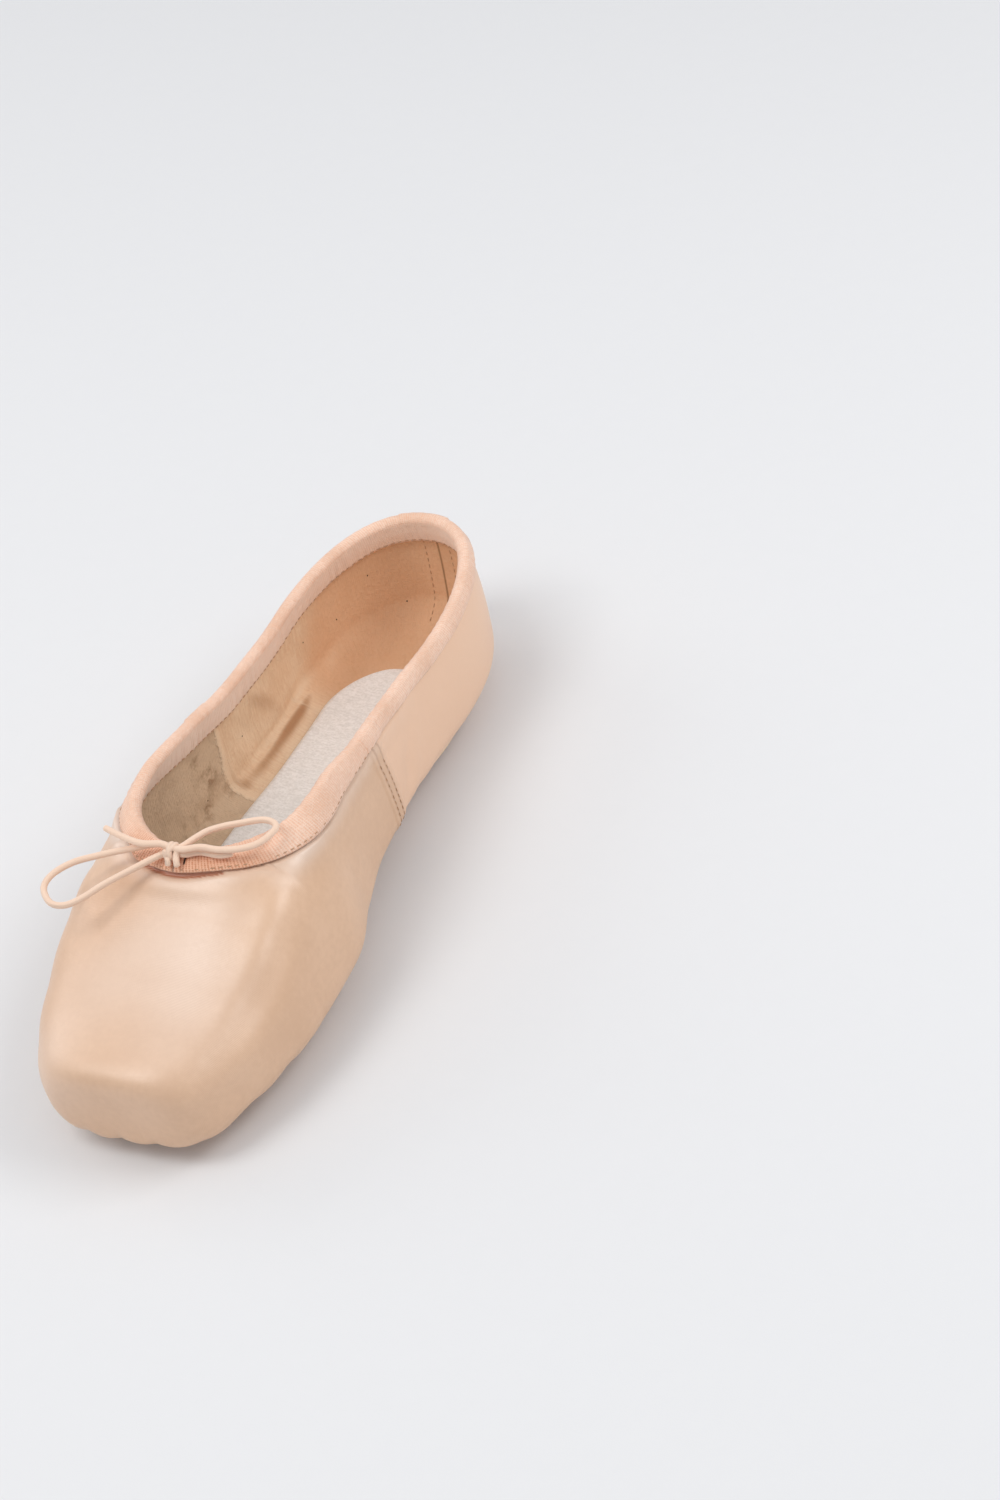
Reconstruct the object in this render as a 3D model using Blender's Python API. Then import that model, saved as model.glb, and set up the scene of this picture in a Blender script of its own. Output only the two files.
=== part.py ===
"""Pointe shoe: hollow satin upper, leather outsole, insole, casing tape and tied drawstring.

Metres, +Z up. The toe points to -Y and the heel to +Y. The origin lies on the floor under the
middle of the shoe's length. The last is straight, so the shoe is alike on both sides of X = 0.
"""
import math

import bmesh
import bpy
import numpy as np

# Last
LENGTH = 0.238
BALL_WIDTH = 0.0862
PLATFORM_WIDTH = 0.0500
HEEL_WIDTH = 0.0646
PLATFORM_TOP = 0.0340
INSTEP_HEIGHT = 0.0558
SIDE_HEIGHT = 0.0492
HEEL_HEIGHT = 0.0450
BELLY_HEIGHT = 0.0175
TOE_SPRING = 0.0016
ARCH_RISE = 0.0045
HEEL_TUCK = 0.0022
CAP_DEPTH = 0.030
CAP_ROUND = 7.0
VAMP_LENGTH = 0.0686
THROAT_REACH = 0.0345
THROAT_ROUND = 1.7
HEEL_REACH = 0.0484
HEEL_LEAN = 0.0060
PLAN_ROUND = 2.2

# Walls and clearances
BOX_WALL = 0.0028
SIDE_WALL = 0.0016
GAP = 0.0003

# Outsole and insole
SOLE_THICKNESS = 0.0030
SOLE_EDGE = 0.0018
SOLE_FLAT_CUT = 0.00025
SOLE_FRONT = 0.037
SOLE_BACK = 0.199
SOLE_BALL_WIDTH = 0.056
SOLE_WAIST_WIDTH = 0.031
SOLE_HEEL_WIDTH = 0.041
SOLE_FRONT_ROUND = 0.028
SOLE_BACK_ROUND = 0.019
SEAT_OPENING_FRONT = 0.052
SEAT_OPENING_BACK = 0.180
SEAT_OPENING_ROUND = 0.014
SEAT_MARGIN = 0.0065
INSOLE_THICKNESS = 0.0020
INSOLE_LIFT = 0.0007
INSOLE_FRONT = 0.026
INSOLE_BACK_MARGIN = 0.0275
INSOLE_SIDE_MARGIN = 0.0085
INSOLE_ROUND = 0.026

# Raised strip at the heel, raised side seams and casing tape
STRIP_WIDTH = 0.0134
STRIP_RAISE = 0.0005
SEAM_AT = 0.1305
SEAM_WIDTH = 0.0068
SEAM_RAISE = 0.0004
SEAM_START = 0.0090
STEP_RUN = 0.0005
SEAM_OVERLAP = 0.0015
TAPE_LEG = 0.0080
TAPE_THICKNESS = 0.0009
TAPE_GAP = 0.0005

# Drawstring
CORD_DIAMETER = 0.0020
KNOT_LENGTH = 0.0066
KNOT_DEPTH = 0.0044
KNOT_HEIGHT = 0.0046

KNOT_AT = (-0.0013, -0.0532, 0.0595)
CORD_ROUTES = {
    "loop_left": ((-0.0052, -0.0518, 0.0604), (-0.0135, -0.0545, 0.0600), (-0.0236, -0.0581, 0.0590),
                  (-0.0312, -0.0613, 0.0580), (-0.0361, -0.0661, 0.0570), (-0.0368, -0.0709, 0.0560),
                  (-0.0323, -0.0755, 0.0554), (-0.0274, -0.0756, 0.0552), (-0.0230, -0.0723, 0.0556),
                  (-0.0179, -0.0669, 0.0568), (-0.0108, -0.0607, 0.0582), (-0.0049, -0.0547, 0.0590)),
    "loop_right": ((0.0024, -0.0515, 0.0607), (0.0066, -0.0447, 0.0606), (0.0150, -0.0400, 0.0606),
                   (0.0214, -0.0375, 0.0606), (0.0255, -0.0380, 0.0604), (0.0268, -0.0406, 0.0603),
                   (0.0243, -0.0463, 0.0602), (0.0197, -0.0496, 0.0604), (0.0137, -0.0514, 0.0608),
                   (0.0082, -0.0518, 0.0613), (0.0029, -0.0537, 0.0612)),
    "end_left": ((-0.0043, -0.0527, 0.0625), (-0.0098, -0.0549, 0.0630), (-0.0172, -0.0532, 0.0630),
                 (-0.0245, -0.0507, 0.0630)),
    "end_right": ((0.0028, -0.0532, 0.0586), (0.0069, -0.0512, 0.0585), (0.0130, -0.0514, 0.0585),
                  (0.0172, -0.0498, 0.0584)),
    "lead_left": ((-0.0012, -0.0566, 0.0594), (-0.0005, -0.0575, 0.0566)),
    "lead_right": ((0.0013, -0.0562, 0.0592), (0.0019, -0.0570, 0.0568)),
}

# Distance under which vertices become one
WELD = 1e-6

# Grid counts
COLUMNS = 16
TURN_WEIGHT = 0.010
SOLE_COLUMNS = 10
KNOT_SIDES = 12

# Cross-sections. Shares of the length, of the platform, ball and heel widths, of the toe spring and
# arch rise, of the platform, instep, side and heel heights, and of the belly height.
SECTION_COLUMNS = ("along", "platform", "ball", "heel", "spring", "arch",
                   "toe_top", "instep_top", "side_top", "heel_top", "belly", "roundness")
SECTIONS = (
    (0.00, 1.00, 0.00, 0.000, 1.00, 0.00, 1.00, 0.00, 0.00, 0.00, 0.95, 2.9),
    (0.06, 0.60, 0.40, 0.000, 0.66, 0.00, 0.92, 0.08, 0.00, 0.00, 0.97, 2.9),
    (0.14, 0.20, 0.80, 0.000, 0.30, 0.00, 0.71, 0.29, 0.00, 0.00, 1.00, 2.8),
    (0.22, 0.00, 0.99, 0.000, 0.05, 0.00, 0.32, 0.68, 0.00, 0.00, 1.03, 2.7),
    (0.30, 0.00, 1.00, 0.000, 0.00, 0.00, 0.00, 1.00, 0.00, 0.00, 1.06, 2.6),
    (0.40, 0.00, 0.54, 0.445, 0.00, 0.45, 0.00, 0.80, 0.23, 0.00, 1.08, 2.5),
    (0.52, 0.00, 0.10, 0.890, 0.00, 1.00, 0.00, 0.22, 0.80, 0.00, 1.08, 2.4),
    (0.66, 0.00, 0.00, 0.965, 0.00, 0.60, 0.00, 0.00, 0.95, 0.00, 1.00, 2.4),
    (0.80, 0.00, 0.00, 1.000, 0.00, 0.00, 0.00, 0.00, 0.18, 0.79, 0.93, 2.5),
    (1.00, 0.00, 0.00, 1.000, 0.00, 0.00, 0.00, 0.00, 0.00, 1.00, 0.93, 2.5),
)

# Share of the section's half width at which the collar stands.
COLLAR_COLUMNS = ("along", "share")
COLLAR = (
    (0.30, 0.81),
    (0.40, 0.81),
    (0.52, 0.89),
    (0.66, 0.90),
    (0.80, 0.89),
    (1.00, 0.93),
)

# Outsole plan. Shares of the sole's length and of its ball, waist and heel widths.
SOLE_PLAN_COLUMNS = ("along", "ball", "waist", "heel")
SOLE_PLAN = (
    (0.00, 0.90, 0.00, 0.00),
    (0.24, 1.00, 0.00, 0.00),
    (0.42, 0.60, 0.42, 0.00),
    (0.58, 0.00, 1.00, 0.00),
    (0.70, 0.00, 1.00, 0.00),
    (0.86, 0.00, 0.00, 1.00),
    (1.00, 0.00, 0.00, 0.96),
)


def column(table, names, name):
    """Return one named column of a table."""
    return np.array([row[names.index(name)] for row in table])


def smooth(at, knots, values):
    """Read a table with a monotone cubic: each interval is a Hermite cubic between its two rows."""
    step = np.diff(knots)
    rise = np.diff(values) / step
    slope = np.empty(len(knots))
    slope[0], slope[-1] = rise[0], rise[-1]
    product = rise[:-1] * rise[1:]
    total = rise[:-1] + rise[1:]
    slope[1:-1] = np.where(product > 0, 2 * product / np.where(product > 0, total, 1), 0)
    at = np.clip(at, knots[0], knots[-1])
    cell = np.clip(np.searchsorted(knots, at, side="right") - 1, 0, len(step) - 1)
    t = (at - knots[cell]) / step[cell]
    left = values[cell] + t * step[cell] * slope[cell]
    right = values[cell + 1] - (1 - t) * step[cell] * slope[cell + 1]
    blend = t * t * (3 - 2 * t)
    return (1 - blend) * left + blend * right


def signed_power(value, power):
    """Raise the size of a value to a power and keep its sign."""
    return np.sign(value) * np.abs(value) ** power


def ramp(value, start, end):
    """Go smoothly from 0 at start to 1 at end."""
    t = np.clip((value - start) / (end - start), 0, 1)
    return t * t * (3 - 2 * t)


def read_sections(along):
    """Half width, bottom, line of the top, belly height and roundness at a share of the length."""
    knots = column(SECTIONS, SECTION_COLUMNS, "along")
    rows = {name: column(SECTIONS, SECTION_COLUMNS, name) for name in SECTION_COLUMNS}
    width = (rows["platform"] * PLATFORM_WIDTH + rows["ball"] * BALL_WIDTH
             + rows["heel"] * HEEL_WIDTH)
    bottom = (SOLE_THICKNESS + GAP - SOLE_FLAT_CUT + rows["spring"] * TOE_SPRING
              + rows["arch"] * ARCH_RISE)
    top = (rows["toe_top"] * PLATFORM_TOP + rows["instep_top"] * INSTEP_HEIGHT
           + rows["side_top"] * SIDE_HEIGHT + rows["heel_top"] * HEEL_HEIGHT)
    belly = rows["belly"] * BELLY_HEIGHT
    return (smooth(along, knots, width / 2), smooth(along, knots, bottom),
            smooth(along, knots, top), smooth(along, knots, belly),
            smooth(along, knots, rows["roundness"]))


def collar_share(along):
    """Share of the half width at which the collar stands, 0 in front of the throat.

    The throat is a superellipse: the share grows as (1 - (1 - t)^n)^(1/n) over its reach.
    """
    knots = column(COLLAR, COLLAR_COLUMNS, "along")
    sides = smooth(along, knots, column(COLLAR, COLLAR_COLUMNS, "share"))
    t = np.clip((along * LENGTH - VAMP_LENGTH) / THROAT_REACH, 0, 1)
    return sides * (1 - (1 - t) ** THROAT_ROUND) ** (1 / THROAT_ROUND)


def section(along):
    """As read_sections, with the top raised so that the section meets the collar at its share."""
    half, bottom, line, belly, roundness = read_sections(along)
    turn = np.arccos(collar_share(along) ** (roundness / 2))
    top = belly + (line - belly) / np.sin(turn) ** (2 / roundness)
    return half, bottom, top, belly, roundness


def cap_scale(u):
    """Scale of the toe's sections: 0 at the platform's middle, 1 from the cap's depth on."""
    t = np.clip((CAP_DEPTH - u) / CAP_DEPTH, 0, 1)
    return (1 - t ** CAP_ROUND) ** (1 / CAP_ROUND)


def heel_reach(z, belly):
    """Reach of the heel behind its centre, which leans back towards the collar."""
    share = np.clip((z - belly) / (HEEL_HEIGHT - BELLY_HEIGHT), -0.5, 1.2)
    return HEEL_REACH + HEEL_LEAN * share


def back_reach():
    """How far the casing's outer face stands behind the heel's centre."""
    belly = section(np.array(1.0))[3]
    reach = heel_reach(HEEL_HEIGHT, belly) * collar_share(np.array(1.0))
    return float(reach) + TAPE_GAP + TAPE_THICKNESS + STRIP_RAISE


HEEL_CENTRE = LENGTH - back_reach()


def outer(t, phi):
    """Point on the upper's outer surface.

    t runs from 0 at the toe to 1 at the heel's centre, and on to 2 at the middle of the back as a
    quarter turn. phi runs round the section from -90 degrees at the bottom to 90 at the top. The
    sections are superellipses, cos^(2/n) across and sin^(2/n) up, and the heel's plan is one too.
    """
    t, phi = np.broadcast_arrays(np.asarray(t, float), np.asarray(phi, float))
    turn = np.maximum(t - 1, 0) * math.pi / 2
    u = HEEL_CENTRE * np.minimum(t, 1)
    side = signed_power(np.cos(turn), 2 / PLAN_ROUND)
    back = signed_power(np.sin(turn), 2 / PLAN_ROUND)
    half, bottom, top, belly, roundness = section((u + (LENGTH - HEEL_CENTRE) * back) / LENGTH)
    scale = cap_scale(u)
    across = signed_power(np.cos(phi), 2 / roundness)
    up = signed_power(np.sin(phi), 2 / roundness)
    bottom = bottom + HEEL_TUCK * (across * back) ** 2
    z = belly + np.where(up > 0, top - belly, belly - bottom) * scale * up
    x = half * scale * across * side
    y = u + heel_reach(z, belly) * across * back - LENGTH / 2
    return np.stack([x, y, z], -1)


def outer_normal(t, phi):
    """Outward unit normal of the outer surface, from small steps along t and phi."""
    t, phi = np.broadcast_arrays(np.asarray(t, float), np.asarray(phi, float))
    step = 1e-4
    first = np.maximum(t - step, 0)
    along = outer(t + step, phi) - outer(first, phi)
    around = outer(t, phi + step) - outer(t, phi - step)
    normal = np.cross(along, around)
    size = np.linalg.norm(normal, axis=-1, keepdims=True)
    normal = normal / np.maximum(size, 1e-18)
    flat_front = (t * HEEL_CENTRE < 1.5e-4)[..., None]
    normal = np.where(flat_front, np.array([0.0, -1.0, 0.0]), normal)
    pole = ((t > 1) & (np.cos(phi) < 1e-6) & (phi < 0))[..., None]
    return np.where(pole, np.array([0.0, 0.0, -1.0]), normal)


def collar_turn(t):
    """Turn phi at which the section of t meets the collar."""
    along = table_place(t)
    roundness = section(along)[4]
    return np.arccos(collar_share(along) ** (roundness / 2))


def table_place(t):
    """Share of the length at which the tables are read for t."""
    t = np.asarray(t, float)
    turn = np.maximum(t - 1, 0) * math.pi / 2
    back = signed_power(np.sin(turn), 2 / PLAN_ROUND)
    return (HEEL_CENTRE * np.minimum(t, 1) + (LENGTH - HEEL_CENTRE) * back) / LENGTH


def wall(t):
    """Thickness of the upper's wall: the stiff box, then the cloth of the quarters."""
    u = HEEL_CENTRE * np.minimum(t, 1)
    soft = ramp(u, 0.6 * VAMP_LENGTH, VAMP_LENGTH + 0.3 * THROAT_REACH)
    return BOX_WALL + (SIDE_WALL - BOX_WALL) * soft


def raised(points, extra=0.0):
    """Height of the heel strip and the side seams above the satin round them.

    Each is a step that climbs over a short run; extra widens it for the tape that passes over.
    """
    x, u, z = points[..., 0], points[..., 1] + LENGTH / 2, points[..., 2]
    strip = 1 - ramp(np.abs(x), STRIP_WIDTH / 2 + extra, STRIP_WIDTH / 2 + extra + STEP_RUN)
    strip = strip * ramp(u, HEEL_CENTRE + 0.30 * HEEL_REACH, HEEL_CENTRE + 0.42 * HEEL_REACH)
    far = np.abs(u - SEAM_AT)
    seam = 1 - ramp(far, SEAM_WIDTH / 2 + extra, SEAM_WIDTH / 2 + extra + STEP_RUN)
    seam = seam * ramp(z, SEAM_START, SEAM_START + BELLY_HEIGHT / 4)
    return STRIP_RAISE * strip + SEAM_RAISE * seam


def sole_half(u):
    """Half width of the outsole's plan, with superelliptic ends."""
    knots = column(SOLE_PLAN, SOLE_PLAN_COLUMNS, "along")
    widths = (column(SOLE_PLAN, SOLE_PLAN_COLUMNS, "ball") * SOLE_BALL_WIDTH
              + column(SOLE_PLAN, SOLE_PLAN_COLUMNS, "waist") * SOLE_WAIST_WIDTH
              + column(SOLE_PLAN, SOLE_PLAN_COLUMNS, "heel") * SOLE_HEEL_WIDTH)
    half = smooth((u - SOLE_FRONT) / (SOLE_BACK - SOLE_FRONT), knots, widths / 2)
    return half * round_end(u - SOLE_FRONT, SOLE_FRONT_ROUND) * round_end(SOLE_BACK - u, SOLE_BACK_ROUND)


def round_end(distance, reach):
    """Share that grows from 0 at an end to 1 at its reach, as a superellipse."""
    t = np.clip(distance / reach, 0, 1)
    return (1 - (1 - t) ** PLAN_ROUND) ** (1 / PLAN_ROUND)


def opening_half(u):
    """Half width of the opening under the upper, which insole and outsole close."""
    ends = (round_end(u - SEAT_OPENING_FRONT, SEAT_OPENING_ROUND)
            * round_end(SEAT_OPENING_BACK - u, SEAT_OPENING_ROUND))
    return np.maximum(sole_half(u) - SEAT_MARGIN, 0) * ends


def underside(x, u, inset=0.0):
    """Height of the upper's underside at a place of its plan, or of its inside with an inset."""
    beyond = np.maximum(u - HEEL_CENTRE, 0)
    base = section(np.minimum(u, HEEL_CENTRE) / LENGTH)
    half = base[0] - inset
    reach = heel_reach(base[1], base[3]) - inset
    plan = ((np.abs(x) / half) ** PLAN_ROUND + (beyond / reach) ** PLAN_ROUND) ** (1 / PLAN_ROUND)
    back = np.where(beyond > 0, beyond / reach / np.maximum(plan, 1e-9), 0)
    place = (np.minimum(u, HEEL_CENTRE) + (LENGTH - HEEL_CENTRE) * back) / LENGTH
    _, bottom, _, belly, roundness = section(place)
    bottom = bottom + HEEL_TUCK * (beyond / reach) ** 2
    share = np.clip(plan, 0, 1)
    return belly - (belly - bottom - inset) * (1 - share ** roundness) ** (1 / roundness)


def end_spaced(start, stop, count, start_round, stop_round):
    """Stations from start to stop that crowd towards its two round ends."""
    quarter = np.linspace(0, math.pi / 2, 6)[:-1]
    first = start + start_round * (1 - np.cos(quarter))
    last = stop - stop_round * (1 - np.cos(quarter[::-1]))
    middle = np.linspace(start + start_round, stop - stop_round, count)
    return np.concatenate([first, middle, last])


def new_object(name, vertices, faces, material):
    """Make a mesh object, weld its seams, turn its faces outwards and shade it smooth."""
    mesh = bpy.data.meshes.new(name)
    mesh.from_pydata(vertices.tolist(), [], faces)
    shape = bmesh.new()
    shape.from_mesh(mesh)
    bmesh.ops.remove_doubles(shape, verts=shape.verts, dist=WELD)
    bmesh.ops.dissolve_degenerate(shape, dist=WELD, edges=shape.edges)
    bmesh.ops.triangulate(shape, faces=shape.faces)
    bmesh.ops.recalc_face_normals(shape, faces=shape.faces)
    shape.to_mesh(mesh)
    shape.free()
    mesh.shade_smooth()
    mesh.set_sharp_from_angle(angle=math.radians(40))
    mesh.materials.append(material)
    thing = bpy.data.objects.new(name, mesh)
    bpy.context.scene.collection.objects.link(thing)
    return thing


def grid_faces(rows, columns, start=0):
    """Quads of a grid whose vertices run along its columns first."""
    return [(start + i * columns + j, start + i * columns + j + 1,
             start + (i + 1) * columns + j + 1, start + (i + 1) * columns + j)
            for i in range(rows - 1) for j in range(columns - 1)]


def make_material(name, colour, roughness):
    """Return a Principled material of one colour, given as a linear RGB triple."""
    material = bpy.data.materials.new(name)
    material.use_nodes = True
    shader = material.node_tree.nodes["Principled BSDF"]
    shader.inputs["Base Color"].default_value = (*colour, 1.0)
    shader.inputs["Roughness"].default_value = roughness
    shader.inputs["Metallic"].default_value = 0.0
    return material


def shell_stations():
    """Values of t at which the upper has a section, from the toe to the middle of the back."""
    shares = np.array([0.0, 0.5, 0.75, 0.87, 0.94, 0.98, 0.995])
    cap = CAP_DEPTH * (1 - (1 - shares ** CAP_ROUND) ** (1 / CAP_ROUND))
    vamp = np.linspace(CAP_DEPTH * 0.6, VAMP_LENGTH - TAPE_LEG, 8)
    vamp = np.append(vamp, [VAMP_LENGTH - TAPE_LEG / 2, VAMP_LENGTH])
    shares = np.append(np.linspace(0, 0.91, 10)[1:], [0.965, 1.0])
    throat = VAMP_LENGTH + THROAT_REACH * (1 - (1 - shares ** THROAT_ROUND) ** (1 / THROAT_ROUND))
    before = np.linspace(VAMP_LENGTH + THROAT_REACH, SEAM_AT - SEAM_WIDTH / 2 - STEP_RUN, 5)[1:]
    seam = SEAM_AT + np.array([-0.5, 0.5]) * SEAM_WIDTH
    after = np.linspace(SEAM_AT + SEAM_WIDTH / 2 + STEP_RUN, HEEL_CENTRE, 7)
    u = np.concatenate([cap, vamp, throat, before, seam, after])
    turns = np.linspace(0, 0.86, 8)[1:]
    strip = np.array([STRIP_WIDTH / 2 + STEP_RUN, STRIP_WIDTH / 2, STRIP_WIDTH / 4, 0.0])
    strip_turns = np.arccos((strip / (HEEL_WIDTH / 2)) ** (PLAN_ROUND / 2)) / (math.pi / 2)
    turns = turns[turns < strip_turns[0] - 0.03]
    return np.concatenate([u / HEEL_CENTRE, 1 + turns, 1 + strip_turns])


def even_turns(t, first, last):
    """Values of phi for each station: equal steps of arc length plus the turning of the surface."""
    fine = np.linspace(0, 1, 240)
    phi = first[:, None] + (last - first)[:, None] * fine
    half, bottom, top, belly, roundness = (value[:, None] for value in section(table_place(t)))
    across = half * signed_power(np.cos(phi), 2 / roundness)
    up = signed_power(np.sin(phi), 2 / roundness)
    height = belly + np.where(up > 0, top - belly, belly - bottom) * up
    run, rise = np.diff(across), np.diff(height)
    heading = np.unwrap(np.arctan2(rise, run))
    turning = np.abs(np.diff(heading, prepend=heading[:, :1]))
    weight = np.cumsum(np.hypot(run, rise) + TURN_WEIGHT * turning, 1)
    weight = np.concatenate([np.zeros((len(t), 1)), weight], 1)
    steps = np.linspace(0, 1, COLUMNS)
    return np.stack([np.interp(steps * row[-1], row, turns) for row, turns in zip(weight, phi)])


def shell_grid():
    """Outer and inner points of the upper's right half, a row for each station."""
    t = shell_stations()
    u = HEEL_CENTRE * np.minimum(t, 1)
    half, _, _, _, roundness = section(table_place(t))
    share = np.where(t < 1, opening_half(u), 0) / half
    first = -np.arccos(np.clip(share, 0, 1) ** (roundness / 2))
    last = collar_turn(t)
    phi = even_turns(t, first, last)
    t = np.repeat(t[:, None], COLUMNS, 1)
    face = outer(t, phi)
    normal = outer_normal(t, phi)
    inside = face - normal * wall(t)[..., None]
    face = face + normal * raised(face)[..., None]
    return face, inside


def make_upper(material):
    """Build the hollow upper: two skins, joined round the collar and round the opening below."""
    face, inside = shell_grid()
    rows, columns = face.shape[:2]
    mirror = np.array([-1.0, 1.0, 1.0])
    sheets = [face, inside, face * mirror, inside * mirror]
    vertices = np.concatenate([sheet.reshape(-1, 3) for sheet in sheets])
    count = rows * columns
    faces = []
    for sheet in range(4):
        faces += grid_faces(rows, columns, sheet * count)
    for skin in (0, 2 * count):
        for j in (0, columns - 1):
            for i in range(rows - 1):
                a, b = skin + i * columns + j, skin + (i + 1) * columns + j
                wide = max(abs(vertices[a][0]), abs(vertices[b][0]))
                if wide > 1e-6:
                    faces.append((a, b, b + count, a + count))
    return new_object("upper", vertices, faces, material)


def level(points):
    """Value of the section's equation: 0 on the outer surface, positive outside it."""
    x, y, z = points[..., 0], points[..., 1], points[..., 2]
    u = y + LENGTH / 2
    beyond = np.maximum(u - HEEL_CENTRE, 0)
    base = section(np.minimum(u, HEEL_CENTRE) / LENGTH)
    reach = heel_reach(z, base[3])
    across = np.abs(x) / base[0]
    plan = (across ** PLAN_ROUND + (beyond / reach) ** PLAN_ROUND) ** (1 / PLAN_ROUND)
    back = np.where(beyond > 0, beyond / reach / np.maximum(plan, 1e-9), 0)
    place = (np.minimum(u, HEEL_CENTRE) + (LENGTH - HEEL_CENTRE) * back) / LENGTH
    _, bottom, top, belly, roundness = section(place)
    bottom = bottom + HEEL_TUCK * (beyond / reach) ** 2
    height = np.where(z > belly, (z - belly) / (top - belly), (belly - z) / (belly - bottom))
    return plan ** roundness + np.abs(height) ** roundness - 1


def gradient(points):
    """Gradient of level, from small steps along the three axes."""
    step = 1e-6
    parts = []
    for axis in range(3):
        move = np.zeros(3)
        move[axis] = step
        parts.append((level(points + move) - level(points - move)) / (2 * step))
    return np.stack(parts, -1)


def settle(points):
    """Move points along the gradient onto the outer surface."""
    for _ in range(4):
        slope = gradient(points)
        points = points - (level(points) / (slope ** 2).sum(-1))[..., None] * slope
    return points


def unit(vectors):
    """Scale vectors to length 1."""
    return vectors / np.linalg.norm(vectors, axis=-1, keepdims=True)


def collar_edge():
    """Edge points of the collar, from the throat round the back to the throat again.

    The left half mirrors the right one.
    """
    t = shell_stations()
    t = t[t * HEEL_CENTRE > VAMP_LENGTH - 1e-6]
    right = outer(t, collar_turn(t))
    right[0, 0] = 0.0
    left = right[-2:0:-1] * np.array([-1.0, 1.0, 1.0])
    return np.concatenate([right, left])


def tape_rows(depths):
    """Points and normals on the outer surface at given depths below the collar's edge.

    From the edge, each row goes down the surface at right angles to the collar.
    """
    edge = collar_edge()
    along = unit(np.roll(edge, -1, 0) - np.roll(edge, 1, 0))
    points = settle(edge)
    rows = []
    depth = 0.0
    for target in depths:
        while depth < target - 1e-9:
            stride = min(0.001, target - depth)
            down = unit(np.cross(along, unit(gradient(points))))
            points = settle(points + down * stride)
            depth += stride
        rows.append((points, unit(gradient(points))))
    return rows


def make_casing(material):
    """Build the tape: a strip folded over the collar's edge, with a leg outside and one inside."""
    edge = collar_edge()
    depths = (0.0, TAPE_LEG / 2, TAPE_LEG)
    rows = tape_rows(depths)
    points = np.stack([row[0] for row in rows])
    normals = np.stack([row[1] for row in rows])
    along = unit(np.roll(edge, -1, 0) - np.roll(edge, 1, 0))
    up = -unit(np.cross(along, normals[0]))
    lift = raised(points, SEAM_OVERLAP)
    thick = wall(np.minimum((points[..., 1] + LENGTH / 2) / HEEL_CENTRE, 1))

    def place(row, rise, out, inner=False):
        """A ring of points: rise above the row's surface points and out along their normals."""
        offset = -(thick[row] + out) if inner else lift[row] + out
        return points[row] + up * rise + normals[row] * offset[:, None]

    gap, full = TAPE_GAP, TAPE_GAP + TAPE_THICKNESS
    rings = [place(2, 0, gap), place(2, 0, full), place(1, 0, full), place(0, 0, full),
             place(0, 0.75 * full, full - 0.35 * TAPE_THICKNESS),
             place(0, full, -0.2 * SIDE_WALL), place(0, full, -0.2 * SIDE_WALL, True),
             place(0, 0.75 * full, full - 0.35 * TAPE_THICKNESS, True), place(0, 0, full, True),
             place(1, 0, full, True), place(2, 0, full, True), place(2, 0, gap, True),
             place(1, 0, gap, True), place(0, gap, gap, True), place(0, gap, gap),
             place(1, 0, gap)]
    rings = np.stack(rings, 1)
    count, around = rings.shape[:2]
    vertices = rings.reshape(-1, 3)
    faces = []
    for i in range(count):
        for j in range(around):
            a, b = i * around + j, i * around + (j + 1) % around
            c, d = ((i + 1) % count) * around + (j + 1) % around, ((i + 1) % count) * around + j
            faces.append((a, b, c, d))
    return new_object("casing", vertices, faces, material)


def slab(name, x, y, top, bottom, material):
    """Close a plate between two height fields over the same plan grid."""
    rows, columns = x.shape
    upper_skin = np.stack([x, y, top], -1).reshape(-1, 3)
    lower_skin = np.stack([x, y, bottom], -1).reshape(-1, 3)
    count = rows * columns
    faces = grid_faces(rows, columns) + grid_faces(rows, columns, count)
    for j in (0, columns - 1):
        for i in range(rows - 1):
            a, b = i * columns + j, (i + 1) * columns + j
            faces.append((a, b, b + count, a + count))
    for i in (0, rows - 1):
        for j in range(columns - 1):
            a, b = i * columns + j, i * columns + j + 1
            faces.append((a, b, b + count, a + count))
    return new_object(name, np.concatenate([upper_skin, lower_skin]), faces, material)


def make_outsole(material):
    """Build the leather outsole: its top follows the upper, its underside is flat where it rests."""
    u = end_spaced(SOLE_FRONT + 1e-4, SOLE_BACK - 1e-4, 15, SOLE_FRONT_ROUND, SOLE_BACK_ROUND)
    share = np.sin(np.linspace(-math.pi / 2, math.pi / 2, SOLE_COLUMNS + 1))
    x = sole_half(u)[:, None] * share
    u = np.repeat(u[:, None], len(share), 1)
    top = underside(x, u) - GAP
    near_edge = np.maximum(np.abs(share) ** 6, (1 - round_end(u - SOLE_FRONT, 0.006)) ** 2)
    thickness = SOLE_THICKNESS - (SOLE_THICKNESS - SOLE_EDGE) * near_edge
    bottom = np.maximum(top - thickness, 0)
    return slab("outsole", x, u - LENGTH / 2, top, bottom, material)


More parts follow.
